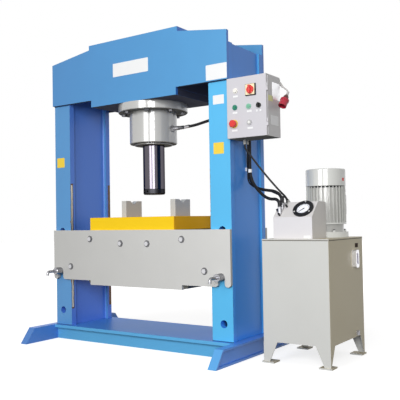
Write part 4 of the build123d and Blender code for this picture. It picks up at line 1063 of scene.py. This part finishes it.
# %% Relief knobs
knob_profile = [
    (0, 0), (0.0050, 0), (0.0050, 0.004), (0.0036, 0.005), (0.0036, 0.008),
    (0.0062, 0.009), (0.0062, 0.0165), (0.0050, 0.018), (0, 0.018),
]
knobs = {"a": (0.931, -0.078, 0.821), "b": (0.952, -0.101, 0.798), "c": (0.975, -0.0545, 0.8445)}
for label, foot in knobs.items():
    turned("relief_knob_" + label, foot, slope, knob_profile, black_plastic, 32)
print("relief knobs made:", len(knobs))

# %% [markdown]
# A crimped ferrule holds each hose to its coupling. Its shallow grooves are the marks of the
# crimping jaws. A plain sleeve covers the lower hose's end, and a white tie holds the bundle.

# %% Hose ferrules and tie
upward = (0, 0, 1)
ferrule_profile = [
    (0.0090, 0), (0.0118, 0.001), (0.0118, 0.006), (0.0108, 0.008), (0.0108, 0.013), (0.0118, 0.015),
    (0.0118, 0.020), (0.0108, 0.022), (0.0108, 0.027), (0.0118, 0.029), (0.0118, 0.034), (0.0090, 0.036),
]
for label, foot, axis, finish in (
    ("lower_port", (0.206, 0, 1.363), (1, 0, 0.02), zinc_dark),
    ("upper_port", (0.206, 0, 1.790), (1, 0, -0.01), zinc_dark),
    ("lower_console", (0.946, -0.086, 0.8465), upward, black_plastic),
    ("upper_console", (0.946, -0.056, 0.8685), upward, black_plastic),
):
    turned("ferrule_" + label, foot, axis, ferrule_profile, finish, 36)
sleeve_profile = [(0.0088, 0), (0.0100, 0.001), (0.0100, 0.036), (0.0088, 0.037)]
tie_profile = [(0.0088, 0), (0.0112, 0.001), (0.0112, 0.020), (0.0088, 0.021)]
turned("ferrule_sleeve", (0.2500, -0.0002, 1.3634), (1, -0.03, 0.10), sleeve_profile, zinc_grey, 36)
turned("hose_tie", (0.7308, -0.0313, 1.050), upward, tie_profile, white_plastic, 36)
print("ferrules and tie made")

# %% [markdown]
# ## Pump unit trims
# The tank carries a sight gauge with a clear window, a small plate above it and a thin dark gasket
# under its lid. A blank plate is fixed to the hood, and a red spot on the cowl marks the way the
# motor turns. The spot is bent to the cowl's round side. Between ribs and cowl, where the cooling air
# leaves, a black ring fills the rib valleys as painted shade, and four bolts hold the motor's flange.

# %% Curved patch for the cowl
def cowl_patch(name, radius, angle_deg, z, width, height, material, steps=8):
    mesh = bmesh.new()
    half = width / radius / 2
    start = math.radians(angle_deg) - half
    rings = []
    for out in (radius, radius + 0.0006):
        for level in (z - height / 2, z + height / 2):
            ring = []
            for i in range(steps + 1):
                angle = start + 2 * half * i / steps
                spot = (motor_x + out * math.cos(angle), motor_y + out * math.sin(angle), level)
                ring.append(mesh.verts.new(spot))
            rings.append(ring)
    low_in, high_in, low_out, high_out = rings
    for first, second in ((low_out, high_out), (high_out, high_in), (high_in, low_in), (low_in, low_out)):
        for i in range(steps):
            mesh.faces.new((first[i], first[i + 1], second[i + 1], second[i]))
    for i in (0, steps):
        mesh.faces.new((low_in[i], low_out[i], high_out[i], high_in[i]))
    bmesh.ops.recalc_face_normals(mesh, faces=mesh.faces)
    return from_bmesh(name, mesh, material)


cowl_patch("turning_mark", 0.113, -7, 0.997, 0.020, 0.017, switch_red)
plate("hood_blank", (1.118, -0.110, 0.681), front, 0.040, 0.016, 0.0010, label_white, 0.0015)
plate("sight_window", (1.2790, 0.187, 0.552), right, 0.014, 0.058, 0.0020, sight_clear, 0.004)
plate("tank_small_plate", (1.257, 0.2375, 0.6245), right, 0.044, 0.024, 0.0010, label_brown, 0.002)
print("pump unit trims placed")

# %% Painted shade at the motor's air gap, and flange bolts
gap_shade_profile = [(0.0950, 0), (0.1045, 0), (0.1045, 0.0090), (0.0950, 0.0090)]
turned("motor_gap_shade", (motor_x, motor_y, 0.9525), upward, gap_shade_profile, black_plastic)
bolt_profile = [(0, 0), (0.0066, 0), (0.0066, 0.0044), (0.0058, 0.0052), (0, 0.0052)]
bolt_circle, flange_top = 0.111, 0.711
for corner in range(4):
    angle = math.radians(45 + 90 * corner)
    foot = (motor_x + bolt_circle * math.cos(angle), motor_y + bolt_circle * math.sin(angle), flange_top)
    turned("motor_bolt_%d" % corner, foot, upward, bolt_profile, zinc_dark, 6, smooth=False)
print("motor trims placed")

# %% Lid gasket
gasket = bmesh.new()
low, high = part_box("tank_lid")
overhang, gasket_levels = 0.0010, (0.6615, 0.6655)
outline = rounded_outline(high[0] - low[0] + overhang, high[1] - low[1] + overhang, 0.006)
middle = Vector(((low[0] + high[0]) / 2, (low[1] + high[1]) / 2, 0))
rows = [[gasket.verts.new(middle + Vector((x, y, z))) for x, y in outline] for z in gasket_levels]
bridge(gasket, rows[0], rows[1])
gasket.faces.new(rows[1])
gasket.faces.new(list(reversed(rows[0])))
from_bmesh("lid_gasket", gasket, gasket_brown)
print("gasket round the lid:", short(low), short(high))

# %% [markdown]
# ## Weld beads
# The frame is welded from plate. A weld is a row of overlapping half-round ripples, so each bead is
# a thin tube whose radius swells at every ripple. The beads are painted over with the frame; their dark
# blue is painted shade, for the shade in the corner where two plates meet and under the plate's edge.

# %% Weld bead helper and the beads
def weld_bead(name, start, end, y, z, radius, pitch=0.007, sides=8):
    start, end = Vector((start, y, z)), Vector((end, y, z))
    along = (end - start).normalized()
    across = along.cross(Vector((0, 0, 1))).normalized()
    up = across.cross(along)
    count = max(int((end - start).length / pitch * 3), 3)
    mesh = bmesh.new()
    rings = []
    for i in range(count + 1):
        size = radius * (0.80 + 0.20 * abs(math.sin(math.pi * i / 3 + 0.4)))
        rings.append(round_ring(mesh, start.lerp(end, i / count), across, up, size, sides))
    for first, second in zip(rings, rings[1:]):
        bridge(mesh, first, second)
    mesh.faces.new(rings[0])
    mesh.faces.new(rings[-1])
    bmesh.ops.recalc_face_normals(mesh, faces=mesh.faces)
    return from_bmesh(name, mesh, weld_shade_blue, smooth=True)


seam_end, column_inner = 0.700, 0.560
for sign, word in ((-1, "front"), (1, "rear")):
    weld_bead("weld_base_" + word, -seam_end, seam_end, sign * 0.1885, 0.0735, 0.0050)
    for left, right_end, hand in ((-seam_end, -column_inner, "left"), (column_inner, seam_end, "right")):
        weld_bead("weld_foot_%s_%s" % (word, hand), left, right_end, sign * 0.1955, 0.0955, 0.0030)
        weld_bead("weld_tab_%s_%s" % (word, hand), left, right_end, sign * 0.1965, 1.5690, 0.0030)

# %% Update the scene
bpy.context.view_layer.update()
